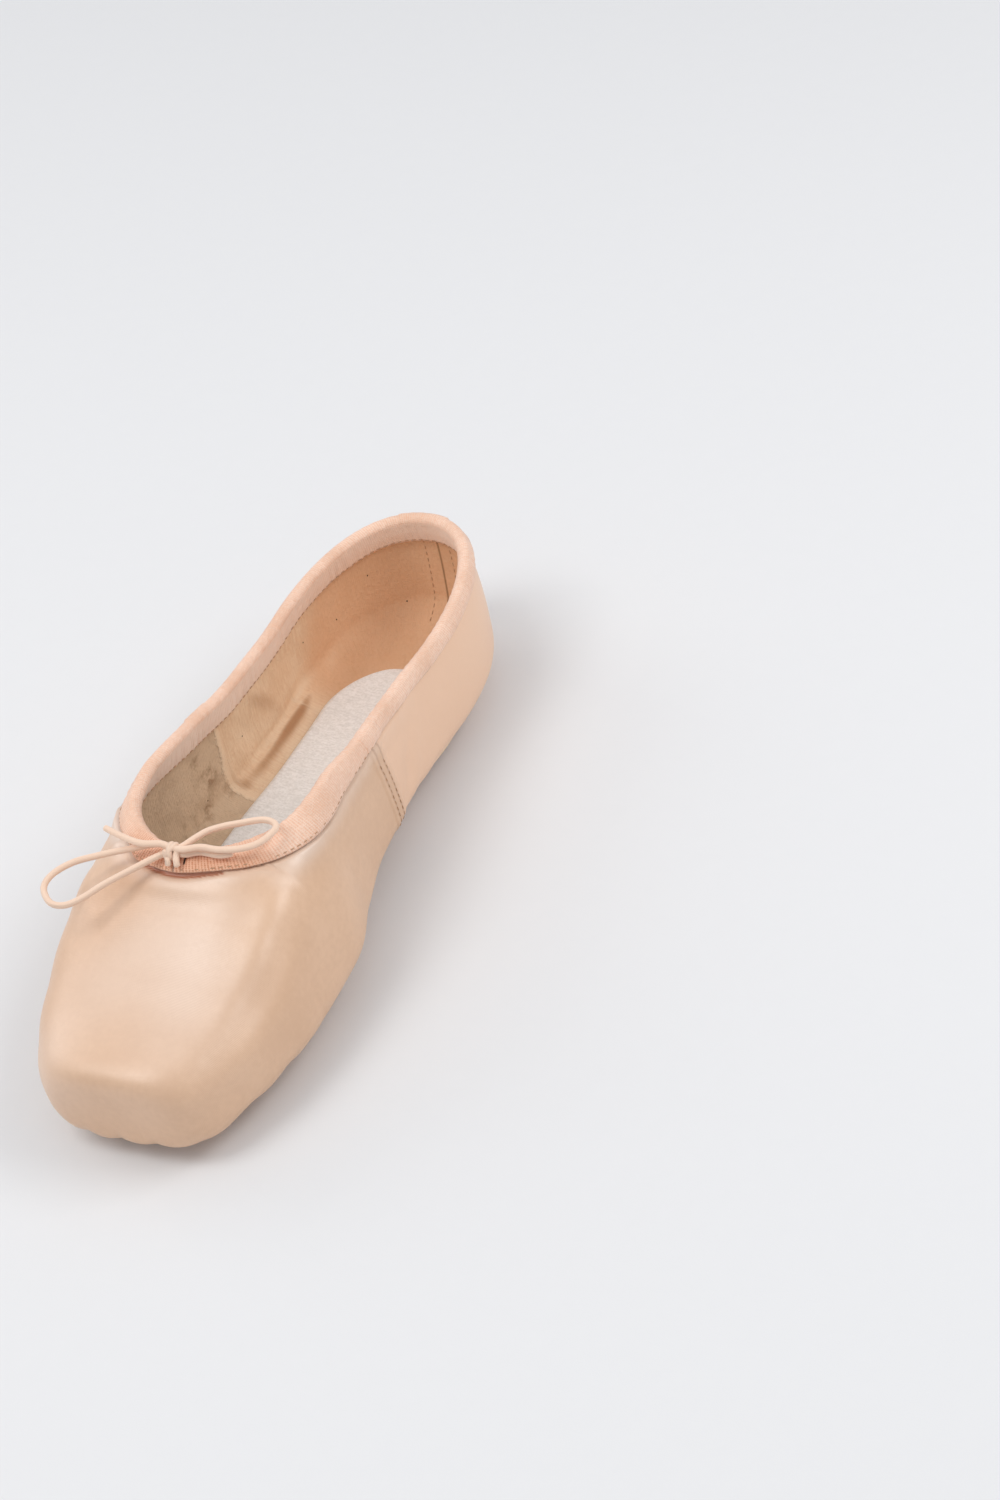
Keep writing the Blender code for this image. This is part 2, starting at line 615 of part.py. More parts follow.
def make_insole(material):
    """Build the insole: a board with rounded ends on the inside of the upper."""
    back = HEEL_CENTRE + HEEL_REACH - SIDE_WALL - INSOLE_BACK_MARGIN
    u = end_spaced(INSOLE_FRONT + 1e-4, back - 1e-4, 13, INSOLE_ROUND, INSOLE_ROUND)
    thick = wall(u / HEEL_CENTRE)
    half = section(np.minimum(u, HEEL_CENTRE) / LENGTH)[0] - thick - INSOLE_SIDE_MARGIN
    half = half * round_end(u - INSOLE_FRONT, INSOLE_ROUND) * round_end(back - u, INSOLE_ROUND)
    share = np.sin(np.linspace(-math.pi / 2, math.pi / 2, SOLE_COLUMNS + 1))
    x = half[:, None] * share
    inset = np.repeat(thick[:, None], len(share), 1)
    u = np.repeat(u[:, None], len(share), 1)
    bottom = underside(x, u, inset) + INSOLE_LIFT
    return slab("insole", x, u - LENGTH / 2, bottom + INSOLE_THICKNESS, bottom, material)


def make_knot(material):
    """Build the knot's outer shape: an ellipsoid that lies on the front of the casing."""
    turns = np.linspace(0, 2 * math.pi, KNOT_SIDES, endpoint=False)
    rises = np.linspace(-math.pi / 2, math.pi / 2, KNOT_SIDES // 2 + 1)[1:-1]
    rises, turns = np.meshgrid(rises, turns, indexing="ij")
    ring = np.stack([np.sin(rises) * KNOT_LENGTH / 2, np.cos(rises) * np.cos(turns) * KNOT_DEPTH / 2,
                     np.cos(rises) * np.sin(turns) * KNOT_HEIGHT / 2], -1).reshape(-1, 3)
    ends = np.array([[-KNOT_LENGTH / 2, 0, 0], [KNOT_LENGTH / 2, 0, 0]])
    vertices = np.concatenate([ring, ends]) + np.array(KNOT_AT)
    rows = KNOT_SIDES // 2 - 1
    faces = []
    for j in range(KNOT_SIDES):
        k = (j + 1) % KNOT_SIDES
        for i in range(rows - 1):
            faces.append((i * KNOT_SIDES + j, i * KNOT_SIDES + k,
                          (i + 1) * KNOT_SIDES + k, (i + 1) * KNOT_SIDES + j))
        faces.append((rows * KNOT_SIDES, j, k))
        faces.append((rows * KNOT_SIDES + 1, (rows - 1) * KNOT_SIDES + j,
                      (rows - 1) * KNOT_SIDES + k))
    return new_object("knot", vertices, faces, material)


def smooth_route(points, spacing):
    """Points at even spacing on a Catmull-Rom curve through the route's own points."""
    points = np.array(points)
    before = 2 * points[0] - points[1]
    after = 2 * points[-1] - points[-2]
    knots = np.concatenate([[before], points, [after]])
    t = np.linspace(0, 1, 24, endpoint=False)[:, None]
    pieces = []
    for a, b, c, d in zip(knots, knots[1:], knots[2:], knots[3:]):
        pieces.append(0.5 * (2 * b + (c - a) * t + (2 * a - 5 * b + 4 * c - d) * t ** 2
                             + (3 * b - a - 3 * c + d) * t ** 3))
    fine = np.concatenate(pieces + [points[-1:]])
    run = np.concatenate([[0], np.cumsum(np.linalg.norm(np.diff(fine, axis=0), axis=1))])
    count = max(int(round(run[-1] / spacing)), 2) + 1
    even = np.linspace(0, run[-1], count)
    return np.stack([np.interp(even, run, fine[:, axis]) for axis in range(3)], -1)


def make_cord(name, points, material):
    """Build a stretch of the drawstring as a tube on a curve, with filled caps."""
    route = smooth_route(points, 2.5 * CORD_DIAMETER)
    line = bpy.data.curves.new(name, "CURVE")
    line.dimensions = "3D"
    line.bevel_depth = CORD_DIAMETER / 2
    line.bevel_resolution = 2
    line.render_resolution_u = 0
    line.use_fill_caps = True
    spline = line.splines.new("POLY")
    spline.points.add(len(route) - 1)
    for point, place in zip(spline.points, route):
        point.co = (*place, 1.0)
    line.materials.append(material)
    thing = bpy.data.objects.new(name, line)
    bpy.context.scene.collection.objects.link(thing)
    return thing


def clear_scene():
    """Remove every object of the scene."""
    for thing in list(bpy.data.objects):
        bpy.data.objects.remove(thing, do_unlink=True)


def main():
    """Build the shoe."""
    clear_scene()
    satin = make_material("peach satin", (0.80, 0.56, 0.42), 0.42)
    leather = make_material("tan sole leather", (0.40, 0.20, 0.12), 0.6)
    felt = make_material("grey felt", (0.52, 0.50, 0.47), 0.9)
    tape = make_material("ribbed tape", (0.83, 0.56, 0.42), 0.6)
    cord = make_material("cotton cord", (0.90, 0.66, 0.50), 0.7)
    make_upper(satin)
    make_outsole(leather)
    make_insole(felt)
    make_casing(tape)
    make_knot(cord)
    for name, points in CORD_ROUTES.items():
        make_cord(name, points, cord)


main()
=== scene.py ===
"""Pointe shoe in peach satin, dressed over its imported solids, with a pale floor and soft light.

Metres, +Z up. The toe points to -Y and the heel to +Y, and the shoe stands on z = 0.
"""
import math

import bmesh
import bpy
import numpy as np
from mathutils import Matrix


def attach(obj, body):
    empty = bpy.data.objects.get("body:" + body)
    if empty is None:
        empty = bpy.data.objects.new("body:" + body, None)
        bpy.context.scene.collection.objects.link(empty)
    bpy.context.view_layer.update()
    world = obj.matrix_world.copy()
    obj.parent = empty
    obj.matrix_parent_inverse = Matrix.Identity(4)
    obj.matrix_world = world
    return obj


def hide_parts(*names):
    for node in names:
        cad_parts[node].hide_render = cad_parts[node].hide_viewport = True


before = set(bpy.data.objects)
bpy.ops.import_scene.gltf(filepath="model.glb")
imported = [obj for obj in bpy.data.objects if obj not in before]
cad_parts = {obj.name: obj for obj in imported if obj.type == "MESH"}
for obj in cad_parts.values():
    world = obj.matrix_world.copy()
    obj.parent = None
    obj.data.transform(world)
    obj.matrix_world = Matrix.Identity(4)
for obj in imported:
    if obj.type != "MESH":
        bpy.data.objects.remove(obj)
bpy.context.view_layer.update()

bl_info = {
    "name": "Pointe Shoe Finish",
    "version": (1, 0, 0),
    "blender": (4, 5, 0),
    "location": "View3D > Sidebar > Shoe",
    "description": "Satin, casing tape, lining, sole and drawstring of a pointe shoe",
    "category": "Object",
}

# Last, as in the solids
LENGTH = 0.238
BALL_WIDTH = 0.0862
PLATFORM_WIDTH = 0.0500
HEEL_WIDTH = 0.0646
PLATFORM_TOP = 0.0340
INSTEP_HEIGHT = 0.0558
SIDE_HEIGHT = 0.0492
HEEL_HEIGHT = 0.0450
BELLY_HEIGHT = 0.0175
TOE_SPRING = 0.0016
ARCH_RISE = 0.0045
HEEL_TUCK = 0.0022
CAP_DEPTH = 0.030
CAP_ROUND = 7.0
VAMP_LENGTH = 0.0686
THROAT_REACH = 0.0345
THROAT_ROUND = 1.7
HEEL_REACH = 0.0484
HEEL_LEAN = 0.0060
PLAN_ROUND = 2.2
BOX_WALL = 0.0028
SIDE_WALL = 0.0016
GAP = 0.0003

# Sole, insole, strips and tape, as in the solids
SOLE_THICKNESS = 0.0030
SOLE_EDGE = 0.0018
SOLE_FLAT_CUT = 0.00025
SOLE_FRONT = 0.037
SOLE_BACK = 0.199
SOLE_BALL_WIDTH = 0.056
SOLE_WAIST_WIDTH = 0.031
SOLE_HEEL_WIDTH = 0.041
SOLE_FRONT_ROUND = 0.028
SOLE_BACK_ROUND = 0.019
SEAT_OPENING_FRONT = 0.052
SEAT_OPENING_BACK = 0.180
SEAT_OPENING_ROUND = 0.014
SEAT_MARGIN = 0.0065
INSOLE_THICKNESS = 0.0020
INSOLE_LIFT = 0.0007
INSOLE_FRONT = 0.026
INSOLE_BACK_MARGIN = 0.0275
INSOLE_SIDE_MARGIN = 0.0085
INSOLE_ROUND = 0.026
STRIP_WIDTH = 0.0134
STRIP_RAISE = 0.0005
SEAM_AT = 0.1305
SEAM_WIDTH = 0.0068
SEAM_RAISE = 0.0004
SEAM_START = 0.0090
STEP_RUN = 0.0005
SEAM_OVERLAP = 0.0015
TAPE_LEG = 0.0080
TAPE_THICKNESS = 0.0009
TAPE_GAP = 0.0005
CORD_DIAMETER = 0.0020

# Place of the side seams along the shoe, and distance of their stitch rows from their middle
SEAM_Y = SEAM_AT - LENGTH / 2
SEAM_ROW = 0.0015

# Crescent gap between tape and satin in front of the throat
CRESCENT_MIDDLE = 0.001
CRESCENT_HALF = 0.014
CRESCENT_DEPTH = 0.0013
CRESCENT_END = VAMP_LENGTH + 0.012
CRESCENT_SINK = 0.0005

# Tape: how much shorter its outer leg is behind, its swelling over the cord, its ripples and the slit
LEG_CUT = 0.0040
TAPE_ROW_STEP = 0.0004
CHANNEL_HEIGHT = 0.00034
RIPPLE_PITCH = 0.00062
SLIT_AT = 0.0026
SLIT_WIDTH = 0.00075
SLIT_HEIGHT = 0.00022

# Cord of the knot's helix and of the hitch over it, and the helix's turns
WRAP_RADIUS = 0.00088
HITCH_RADIUS = 0.00080
WRAP_TURNS = 1.9

# Groove round the outsole, and the insole's soft edge and swell
GROOVE_DEPTH = 0.00022
GROOVE_AT = 0.0028
GROOVE_WIDTH = 0.0005
SOFT_EDGE_DROP = 0.0012
SOFT_EDGE_WIDTH = 0.0022
SWELL_HEIGHT = 0.00022

# Stitches, distances of the lining's two back rows from the middle of the heel, and pin holes
STITCH_WIDTH = 0.00042
STITCH_HEIGHT = 0.00020
BACK_SEAM_ROW = 0.0022
BACK_STRIP_ROW = 0.0078
PIN_HOLE_LENGTH = 0.00055
PIN_HOLE_GAP = 0.0009
PIN_HOLE_WIDTH = 0.00050
PIN_HOLE_DEPTH = 0.00008

# Grid counts, steps along the cords, and the distance under which points of a mesh become one
COLLAR_POINTS = 1400
TAPE_POINTS = 560
TAPE_ROWS = 11
CROWN_RINGS = 9
SEAM_POINTS = 190
STITCH_RINGS = 6
STITCH_SIDES = 6
SLAB_COLUMNS = 61
CREASE_PLACES = 60
EDGE_SPREAD = 0.0012
CORD_SIDES = 12
CORD_STEP = 0.0005
KNOT_STEP = 0.0003
WELD = 2e-6

# Size of the unit in which the tables below give widths and depths
MM = 1e-3

# Distance of the floor under the sole
FLOOR_DROP = 0.00005

# Cross-sections. Shares of the length, of the platform, ball and heel widths, of the toe spring and
# arch rise, of the platform, instep, side and heel heights, and of the belly height.
SECTION_COLUMNS = ("along", "platform", "ball", "heel", "spring", "arch",
                   "toe_top", "instep_top", "side_top", "heel_top", "belly", "roundness")
SECTIONS = (
    (0.00, 1.00, 0.00, 0.000, 1.00, 0.00, 1.00, 0.00, 0.00, 0.00, 0.95, 2.9),
    (0.06, 0.60, 0.40, 0.000, 0.66, 0.00, 0.92, 0.08, 0.00, 0.00, 0.97, 2.9),
    (0.14, 0.20, 0.80, 0.000, 0.30, 0.00, 0.71, 0.29, 0.00, 0.00, 1.00, 2.8),
    (0.22, 0.00, 0.99, 0.000, 0.05, 0.00, 0.32, 0.68, 0.00, 0.00, 1.03, 2.7),
    (0.30, 0.00, 1.00, 0.000, 0.00, 0.00, 0.00, 1.00, 0.00, 0.00, 1.06, 2.6),
    (0.40, 0.00, 0.54, 0.445, 0.00, 0.45, 0.00, 0.80, 0.23, 0.00, 1.08, 2.5),
    (0.52, 0.00, 0.10, 0.890, 0.00, 1.00, 0.00, 0.22, 0.80, 0.00, 1.08, 2.4),
    (0.66, 0.00, 0.00, 0.965, 0.00, 0.60, 0.00, 0.00, 0.95, 0.00, 1.00, 2.4),
    (0.80, 0.00, 0.00, 1.000, 0.00, 0.00, 0.00, 0.00, 0.18, 0.79, 0.93, 2.5),
    (1.00, 0.00, 0.00, 1.000, 0.00, 0.00, 0.00, 0.00, 0.00, 1.00, 0.93, 2.5),
)

# Share of the section's half width at which the collar stands.
COLLAR_COLUMNS = ("along", "share")
COLLAR = ((0.30, 0.81), (0.40, 0.81), (0.52, 0.89), (0.66, 0.90), (0.80, 0.89), (1.00, 0.93))

# Outsole plan. Shares of the sole's length and of its ball, waist and heel widths.
SOLE_PLAN_COLUMNS = ("along", "ball", "waist", "heel")
SOLE_PLAN = (
    (0.00, 0.90, 0.00, 0.00),
    (0.24, 1.00, 0.00, 0.00),
    (0.42, 0.60, 0.42, 0.00),
    (0.58, 0.00, 1.00, 0.00),
    (0.70, 0.00, 1.00, 0.00),
    (0.86, 0.00, 0.00, 1.00),
    (1.00, 0.00, 0.00, 0.96),
)

# Pleats round the sole's ends: centre along the shoe, direction, radius, count and reach.
PLEATS = (
    (SOLE_FRONT + SOLE_FRONT_ROUND, -1, 0.0275, 30, 0.080),
    (SOLE_BACK - SOLE_BACK_ROUND, 1, 0.0195, 34, 0.012),
)

# Creases of the satin: side, place t and turn phi in degrees of both ends, width and depth in mm.
# A positive depth is a trough, a negative one a ridge.
CREASES = (
    (1, 0.500, 45, 0.085, 52, 5.0, -0.95),
    (1, 0.350, 43, 0.090, 36, 4.0, 0.50),
    (1, 0.420, 20, 0.170, 14, 10.0, 0.90),
    (-1, 0.400, 42, 0.240, 44, 7.0, -0.50),
    (1, 0.360, 62, 0.240, 66, 6.0, 0.35),
    (-1, 0.330, 68, 0.240, 74, 7.0, 0.30),
    (1, 0.390, 44, 0.300, 58, 6.0, 0.35),
    (-1, 0.500, 41, 0.370, 66, 4.6, -1.30),
    (-1, 0.400, 40, 0.320, 60, 5.0, 0.50),
    (1, 0.006, -25, 0.060, -24, 8.0, -1.20),
    (1, 0.815, 14, 0.735, -4, 2.6, 0.42),
    (1, 0.835, 12, 0.765, -6, 2.4, -0.26),
    (1, 0.790, 2, 0.800, -24, 3.2, 0.30),
    (-1, 0.800, 12, 0.760, -8, 2.6, 0.35),
    (1, 0.918, 13, 0.945, 11, 1.0, 0.16),
    (1, 0.660, -6, 0.560, -14, 4.5, 0.30),
    (-1, 0.650, -4, 0.560, -16, 4.5, 0.28),
    (1, 1.150, -8, 0.900, -18, 5.0, 0.30),
    (-1, 1.180, -4, 0.930, -14, 5.0, 0.28),
)

# Folds of the lining, in the same columns. A positive depth stands towards the foot. In the lining's colour,
# positive depths also get painted shade and negative ones painted light.
LINING_FOLDS = (
    (-1, 1.070, -17, 0.795, -16, 3.4, -1.50),
    (-1, 1.110, -25, 0.750, -28, 3.0, 1.60),
    (-1, 0.735, 14, 0.745, -36, 2.2, 0.45),
    (-1, 0.960, -14, 0.800, 0, 3.6, 0.80),
    (-1, 0.860, -8, 0.770, 14, 5.0, -0.80),
    (-1, 0.920, 0, 0.820, 18, 4.0, 0.60),
    (-1, 1.040, -6, 0.960, 16, 5.0, -0.70),
    (-1, 1.120, -20, 0.980, -34, 3.0, -0.70),
    (1, 0.980, -28, 0.800, -16, 3.2, -1.80),
    (1, 0.880, 4, 0.760, 10, 4.0, 0.40),
    (-1, 1.300, -14, 1.150, -30, 4.0, -0.50),
    (1, 1.320, -10, 1.160, -28, 4.0, -0.45),
)

# Painted highlights: places where the satin's colour is made paler and pinker to stand in for its shine, in
# the same columns, with a strength as the depth.
PAINTED_HIGHLIGHTS = (
    (1, 0.340, 84, 0.060, 72, 17.0, 560),
    (1, 0.600, 28, 0.370, 52, 3.4, 700),
    (-1, 0.004, 40, 0.060, 10, 12.0, 350),
    (-1, 0.500, 43, 0.370, 67, 4.4, 1300),
    (-1, 0.260, 80, 0.080, 76, 14.0, 380),
)

# Glue stains of the vamp lining: side, place t, turn phi in degrees, spread in mm and strength.
STAINS = (
    (-1, 0.690, 6, 4.0, 0.9),
    (-1, 0.700, -12, 3.2, 1.0),
    (-1, 0.660, -4, 3.6, 0.7),
    (-1, 0.668, 14, 3.0, 0.5),
    (-1, 0.600, -8, 5.0, 0.5),
    (1, 0.680, -2, 4.0, 0.8),
    (1, 0.620, -14, 4.6, 0.6),
)

# Pin holes of the lining: side, place t and turn phi in degrees.
PIN_HOLES = (
    (-1, 0.740, 24), (-1, 0.795, 6), (-1, 0.854, 15), (-1, 1.088, 7), (-1, 0.666, 1),
    (-1, 0.740, 8), (-1, 1.320, 3), (-1, 1.560, 9), (1, 1.700, 6), (1, 0.780, 12),
    (1, 0.880, 4), (1, 0.700, 10), (-1, 1.780, -8), (1, 1.200, 10),
)

# Rows of the bow: the knot, then each strand from the slit in the tape to its loose end.
KNOT_AT = (-0.0013, -0.0532, 0.0595)
STRAND_LEFT = (
    (-0.0012, -0.0570, 0.0570), (-0.0014, -0.0563, 0.0584), (-0.0021, -0.0544, 0.0595),
    (-0.0034, -0.0527, 0.0600), (-0.0052, -0.0518, 0.0604), (-0.0092, -0.0527, 0.0603),
    (-0.0135, -0.0545, 0.0600), (-0.0186, -0.0563, 0.0596), (-0.0236, -0.0581, 0.0590),
    (-0.0312, -0.0613, 0.0580), (-0.0361, -0.0661, 0.0570), (-0.0368, -0.0709, 0.0560),
    (-0.0323, -0.0755, 0.0554), (-0.0274, -0.0756, 0.0552), (-0.0230, -0.0723, 0.0556),
    (-0.0179, -0.0669, 0.0568), (-0.0108, -0.0607, 0.0582), (-0.0049, -0.0552, 0.0590),
    (-0.0012, -0.0538, 0.0592), (0.0028, -0.0531, 0.0588), (0.0069, -0.0512, 0.0585),
    (0.0130, -0.0514, 0.0585), (0.0172, -0.0498, 0.0584),
)
STRAND_RIGHT = (
    (0.0017, -0.0570, 0.0570), (0.0014, -0.0562, 0.0584), (0.0008, -0.0545, 0.0596),
    (0.0012, -0.0526, 0.0604), (0.0024, -0.0513, 0.0607), (0.0042, -0.0481, 0.0607),
    (0.0066, -0.0447, 0.0606), (0.0104, -0.0421, 0.0606), (0.0150, -0.0400, 0.0606),
    (0.0214, -0.0375, 0.0606), (0.0255, -0.0380, 0.0604), (0.0268, -0.0406, 0.0603),
    (0.0243, -0.0463, 0.0602), (0.0197, -0.0496, 0.0604), (0.0137, -0.0514, 0.0608),
    (0.0082, -0.0518, 0.0613), (0.0029, -0.0533, 0.0610), (-0.0013, -0.0531, 0.0609),
    (-0.0043, -0.0530, 0.0618), (-0.0098, -0.0549, 0.0630), (-0.0172, -0.0532, 0.0630),
    (-0.0245, -0.0507, 0.0630),
)


def column(table, names, name):
    """Return one named column of a table."""
    return np.array([row[names.index(name)] for row in table])


def smooth(at, knots, values):
    """Read a table with a monotone cubic: each interval is a Hermite cubic between its two rows."""
    step = np.diff(knots)
    rise = np.diff(values) / step
    slope = np.empty(len(knots))
    slope[0], slope[-1] = rise[0], rise[-1]
    product = rise[:-1] * rise[1:]
    total = rise[:-1] + rise[1:]
    slope[1:-1] = np.where(product > 0, 2 * product / np.where(product > 0, total, 1), 0)
    at = np.clip(at, knots[0], knots[-1])
    cell = np.clip(np.searchsorted(knots, at, side="right") - 1, 0, len(step) - 1)
    t = (at - knots[cell]) / step[cell]
    left = values[cell] + t * step[cell] * slope[cell]
    right = values[cell + 1] - (1 - t) * step[cell] * slope[cell + 1]
    blend = t * t * (3 - 2 * t)
    return (1 - blend) * left + blend * right


def signed_power(value, power):
    """Raise the size of a value to a power and keep its sign."""
    return np.sign(value) * np.abs(value) ** power


def ramp(value, start, end):
    """Go smoothly from 0 at start to 1 at end."""
    t = np.clip((value - start) / (end - start), 0, 1)
    return t * t * (3 - 2 * t)


def hump(value, middle, width):
    """Bell of height 1: exp(-((value - middle) / width)^2)."""
    return np.exp(-((value - middle) / width) ** 2)


def unit(vectors):
    """Scale vectors to length 1."""
    return vectors / np.maximum(np.linalg.norm(vectors, axis=-1, keepdims=True), 1e-18)


def read_sections(along):
    """Half width, bottom, line of the top, belly height and roundness at a share of the length."""
    knots = column(SECTIONS, SECTION_COLUMNS, "along")
    rows = {name: column(SECTIONS, SECTION_COLUMNS, name) for name in SECTION_COLUMNS}
    width = (rows["platform"] * PLATFORM_WIDTH + rows["ball"] * BALL_WIDTH
             + rows["heel"] * HEEL_WIDTH)
    bottom = (SOLE_THICKNESS + GAP - SOLE_FLAT_CUT + rows["spring"] * TOE_SPRING
              + rows["arch"] * ARCH_RISE)
    top = (rows["toe_top"] * PLATFORM_TOP + rows["instep_top"] * INSTEP_HEIGHT
           + rows["side_top"] * SIDE_HEIGHT + rows["heel_top"] * HEEL_HEIGHT)
    belly = rows["belly"] * BELLY_HEIGHT
    return (smooth(along, knots, width / 2), smooth(along, knots, bottom),
            smooth(along, knots, top), smooth(along, knots, belly),
            smooth(along, knots, rows["roundness"]))


def collar_share(along):
    """Share of the half width at which the collar stands: sides * (1 - (1 - t)^n)^(1/n)."""
    knots = column(COLLAR, COLLAR_COLUMNS, "along")
    sides = smooth(along, knots, column(COLLAR, COLLAR_COLUMNS, "share"))
    t = np.clip((along * LENGTH - VAMP_LENGTH) / THROAT_REACH, 0, 1)
    return sides * (1 - (1 - t) ** THROAT_ROUND) ** (1 / THROAT_ROUND)


def section(along):
    """As read_sections, with the top raised so that the section meets the collar at its share."""
    half, bottom, line, belly, roundness = read_sections(along)
    turn = np.arccos(collar_share(along) ** (roundness / 2))
    top = belly + (line - belly) / np.sin(turn) ** (2 / roundness)
    return half, bottom, top, belly, roundness


def cap_scale(u):
    """Scale of the toe's sections: 0 at the platform's middle, 1 from the cap's depth on."""
    t = np.clip((CAP_DEPTH - u) / CAP_DEPTH, 0, 1)
    return (1 - t ** CAP_ROUND) ** (1 / CAP_ROUND)


def heel_reach(z, belly):
    """Reach of the heel behind its centre, which leans back towards the collar."""
    share = np.clip((z - belly) / (HEEL_HEIGHT - BELLY_HEIGHT), -0.5, 1.2)
    return HEEL_REACH + HEEL_LEAN * share


def back_reach():
    """How far the casing's outer face stands behind the heel's centre."""
    belly = section(np.array(1.0))[3]
    reach = heel_reach(HEEL_HEIGHT, belly) * collar_share(np.array(1.0))
    return float(reach) + TAPE_GAP + TAPE_THICKNESS + STRIP_RAISE


HEEL_CENTRE = LENGTH - back_reach()


def table_place(t):
    """Share of the length at which the tables are read for t."""
    t = np.asarray(t, float)
    turn = np.maximum(t - 1, 0) * math.pi / 2
    back = signed_power(np.sin(turn), 2 / PLAN_ROUND)
    return (HEEL_CENTRE * np.minimum(t, 1) + (LENGTH - HEEL_CENTRE) * back) / LENGTH


def outer(t, phi):
    """Point on the last's surface.

    t runs from 0 at the toe to 1 at the heel's centre, and on to 2 at the middle of the back as a
    quarter turn. phi runs round the section from -90 degrees at the bottom to 90 at the top. The
    sections are superellipses, cos^(2/n) across and sin^(2/n) up, and the heel's plan is one too.
    """
    t, phi = np.broadcast_arrays(np.asarray(t, float), np.asarray(phi, float))
    turn = np.maximum(t - 1, 0) * math.pi / 2
    u = HEEL_CENTRE * np.minimum(t, 1)
    side = signed_power(np.cos(turn), 2 / PLAN_ROUND)
    back = signed_power(np.sin(turn), 2 / PLAN_ROUND)
    half, bottom, top, belly, roundness = section(table_place(t))
    scale = cap_scale(u)
    across = signed_power(np.cos(phi), 2 / roundness)
    up = signed_power(np.sin(phi), 2 / roundness)
    bottom = bottom + HEEL_TUCK * (across * back) ** 2
    z = belly + np.where(up > 0, top - belly, belly - bottom) * scale * up
    x = half * scale * across * side
    y = u + heel_reach(z, belly) * across * back - LENGTH / 2
    return np.stack([x, y, z], -1)


def outer_normal(t, phi):
    """Outward unit normal of the last's surface, from small steps along t and phi."""
    t, phi = np.broadcast_arrays(np.asarray(t, float), np.asarray(phi, float))
    step = 1e-4
    along = outer(t + step, phi) - outer(np.maximum(t - step, 0), phi)
    around = outer(t, phi + step) - outer(t, phi - step)
    normal = unit(np.cross(along, around))
    flat_front = (t * HEEL_CENTRE < 1.5e-4)[..., None]
    normal = np.where(flat_front, np.array([0.0, -1.0, 0.0]), normal)
    pole = ((t > 1) & (np.cos(phi) < 1e-6) & (phi < 0))[..., None]
    return np.where(pole, np.array([0.0, 0.0, -1.0]), normal)


def collar_turn(t):
    """Turn phi at which the section of t meets the collar."""
    along = table_place(t)
    roundness = section(along)[4]
    return np.arccos(collar_share(along) ** (roundness / 2))


def wall(t):
    """Thickness of the upper's wall: the stiff box, then the cloth of the quarters."""
    u = HEEL_CENTRE * np.minimum(t, 1)
    soft = ramp(u, 0.6 * VAMP_LENGTH, VAMP_LENGTH + 0.3 * THROAT_REACH)
    return BOX_WALL + (SIDE_WALL - BOX_WALL) * soft


def round_end(distance, reach):
    """Share that grows from 0 at an end to 1 at its reach, as a superellipse."""
    t = np.clip(distance / reach, 0, 1)
    return (1 - (1 - t) ** PLAN_ROUND) ** (1 / PLAN_ROUND)


def sole_half(u):
    """Half width of the outsole's plan, with superelliptic ends."""
    knots = column(SOLE_PLAN, SOLE_PLAN_COLUMNS, "along")
    widths = (column(SOLE_PLAN, SOLE_PLAN_COLUMNS, "ball") * SOLE_BALL_WIDTH
              + column(SOLE_PLAN, SOLE_PLAN_COLUMNS, "waist") * SOLE_WAIST_WIDTH
              + column(SOLE_PLAN, SOLE_PLAN_COLUMNS, "heel") * SOLE_HEEL_WIDTH)
    half = smooth((u - SOLE_FRONT) / (SOLE_BACK - SOLE_FRONT), knots, widths / 2)
    front, back = round_end(u - SOLE_FRONT, SOLE_FRONT_ROUND), round_end(SOLE_BACK - u, SOLE_BACK_ROUND)
    return half * front * back


def opening_half(u):
    """Half width of the opening under the upper, which insole and outsole close."""
    ends = (round_end(u - SEAT_OPENING_FRONT, SEAT_OPENING_ROUND)
            * round_end(SEAT_OPENING_BACK - u, SEAT_OPENING_ROUND))
    return np.maximum(sole_half(u) - SEAT_MARGIN, 0) * ends


def underside(x, u, inset=0.0):
    """Height of the upper's underside at a place of its plan, or of its inside with an inset."""
    beyond = np.maximum(u - HEEL_CENTRE, 0)
    base = section(np.minimum(u, HEEL_CENTRE) / LENGTH)
    half = base[0] - inset
    reach = heel_reach(base[1], base[3]) - inset
    plan = ((np.abs(x) / half) ** PLAN_ROUND + (beyond / reach) ** PLAN_ROUND) ** (1 / PLAN_ROUND)
    back = np.where(beyond > 0, beyond / reach / np.maximum(plan, 1e-9), 0)
    place = (np.minimum(u, HEEL_CENTRE) + (LENGTH - HEEL_CENTRE) * back) / LENGTH
    _, bottom, _, belly, roundness = section(place)
    bottom = bottom + HEEL_TUCK * (beyond / reach) ** 2
    share = np.clip(plan, 0, 1)
    return belly - (belly - bottom - inset) * (1 - share ** roundness) ** (1 / roundness)


def level(points):
    """Value of the section's equation: 0 on the last's surface, positive outside it."""
    x, y, z = points[..., 0], points[..., 1], points[..., 2]
    u = y + LENGTH / 2
    beyond = np.maximum(u - HEEL_CENTRE, 0)
    base = section(np.minimum(u, HEEL_CENTRE) / LENGTH)
    reach = heel_reach(z, base[3])
    across = np.abs(x) / base[0]
    plan = (across ** PLAN_ROUND + (beyond / reach) ** PLAN_ROUND) ** (1 / PLAN_ROUND)
    back = np.where(beyond > 0, beyond / reach / np.maximum(plan, 1e-9), 0)
    place = (np.minimum(u, HEEL_CENTRE) + (LENGTH - HEEL_CENTRE) * back) / LENGTH
    _, bottom, top, belly, roundness = section(place)
    bottom = bottom + HEEL_TUCK * (beyond / reach) ** 2
    height = np.where(z > belly, (z - belly) / (top - belly), (belly - z) / (belly - bottom))
    return plan ** roundness + np.abs(height) ** roundness - 1


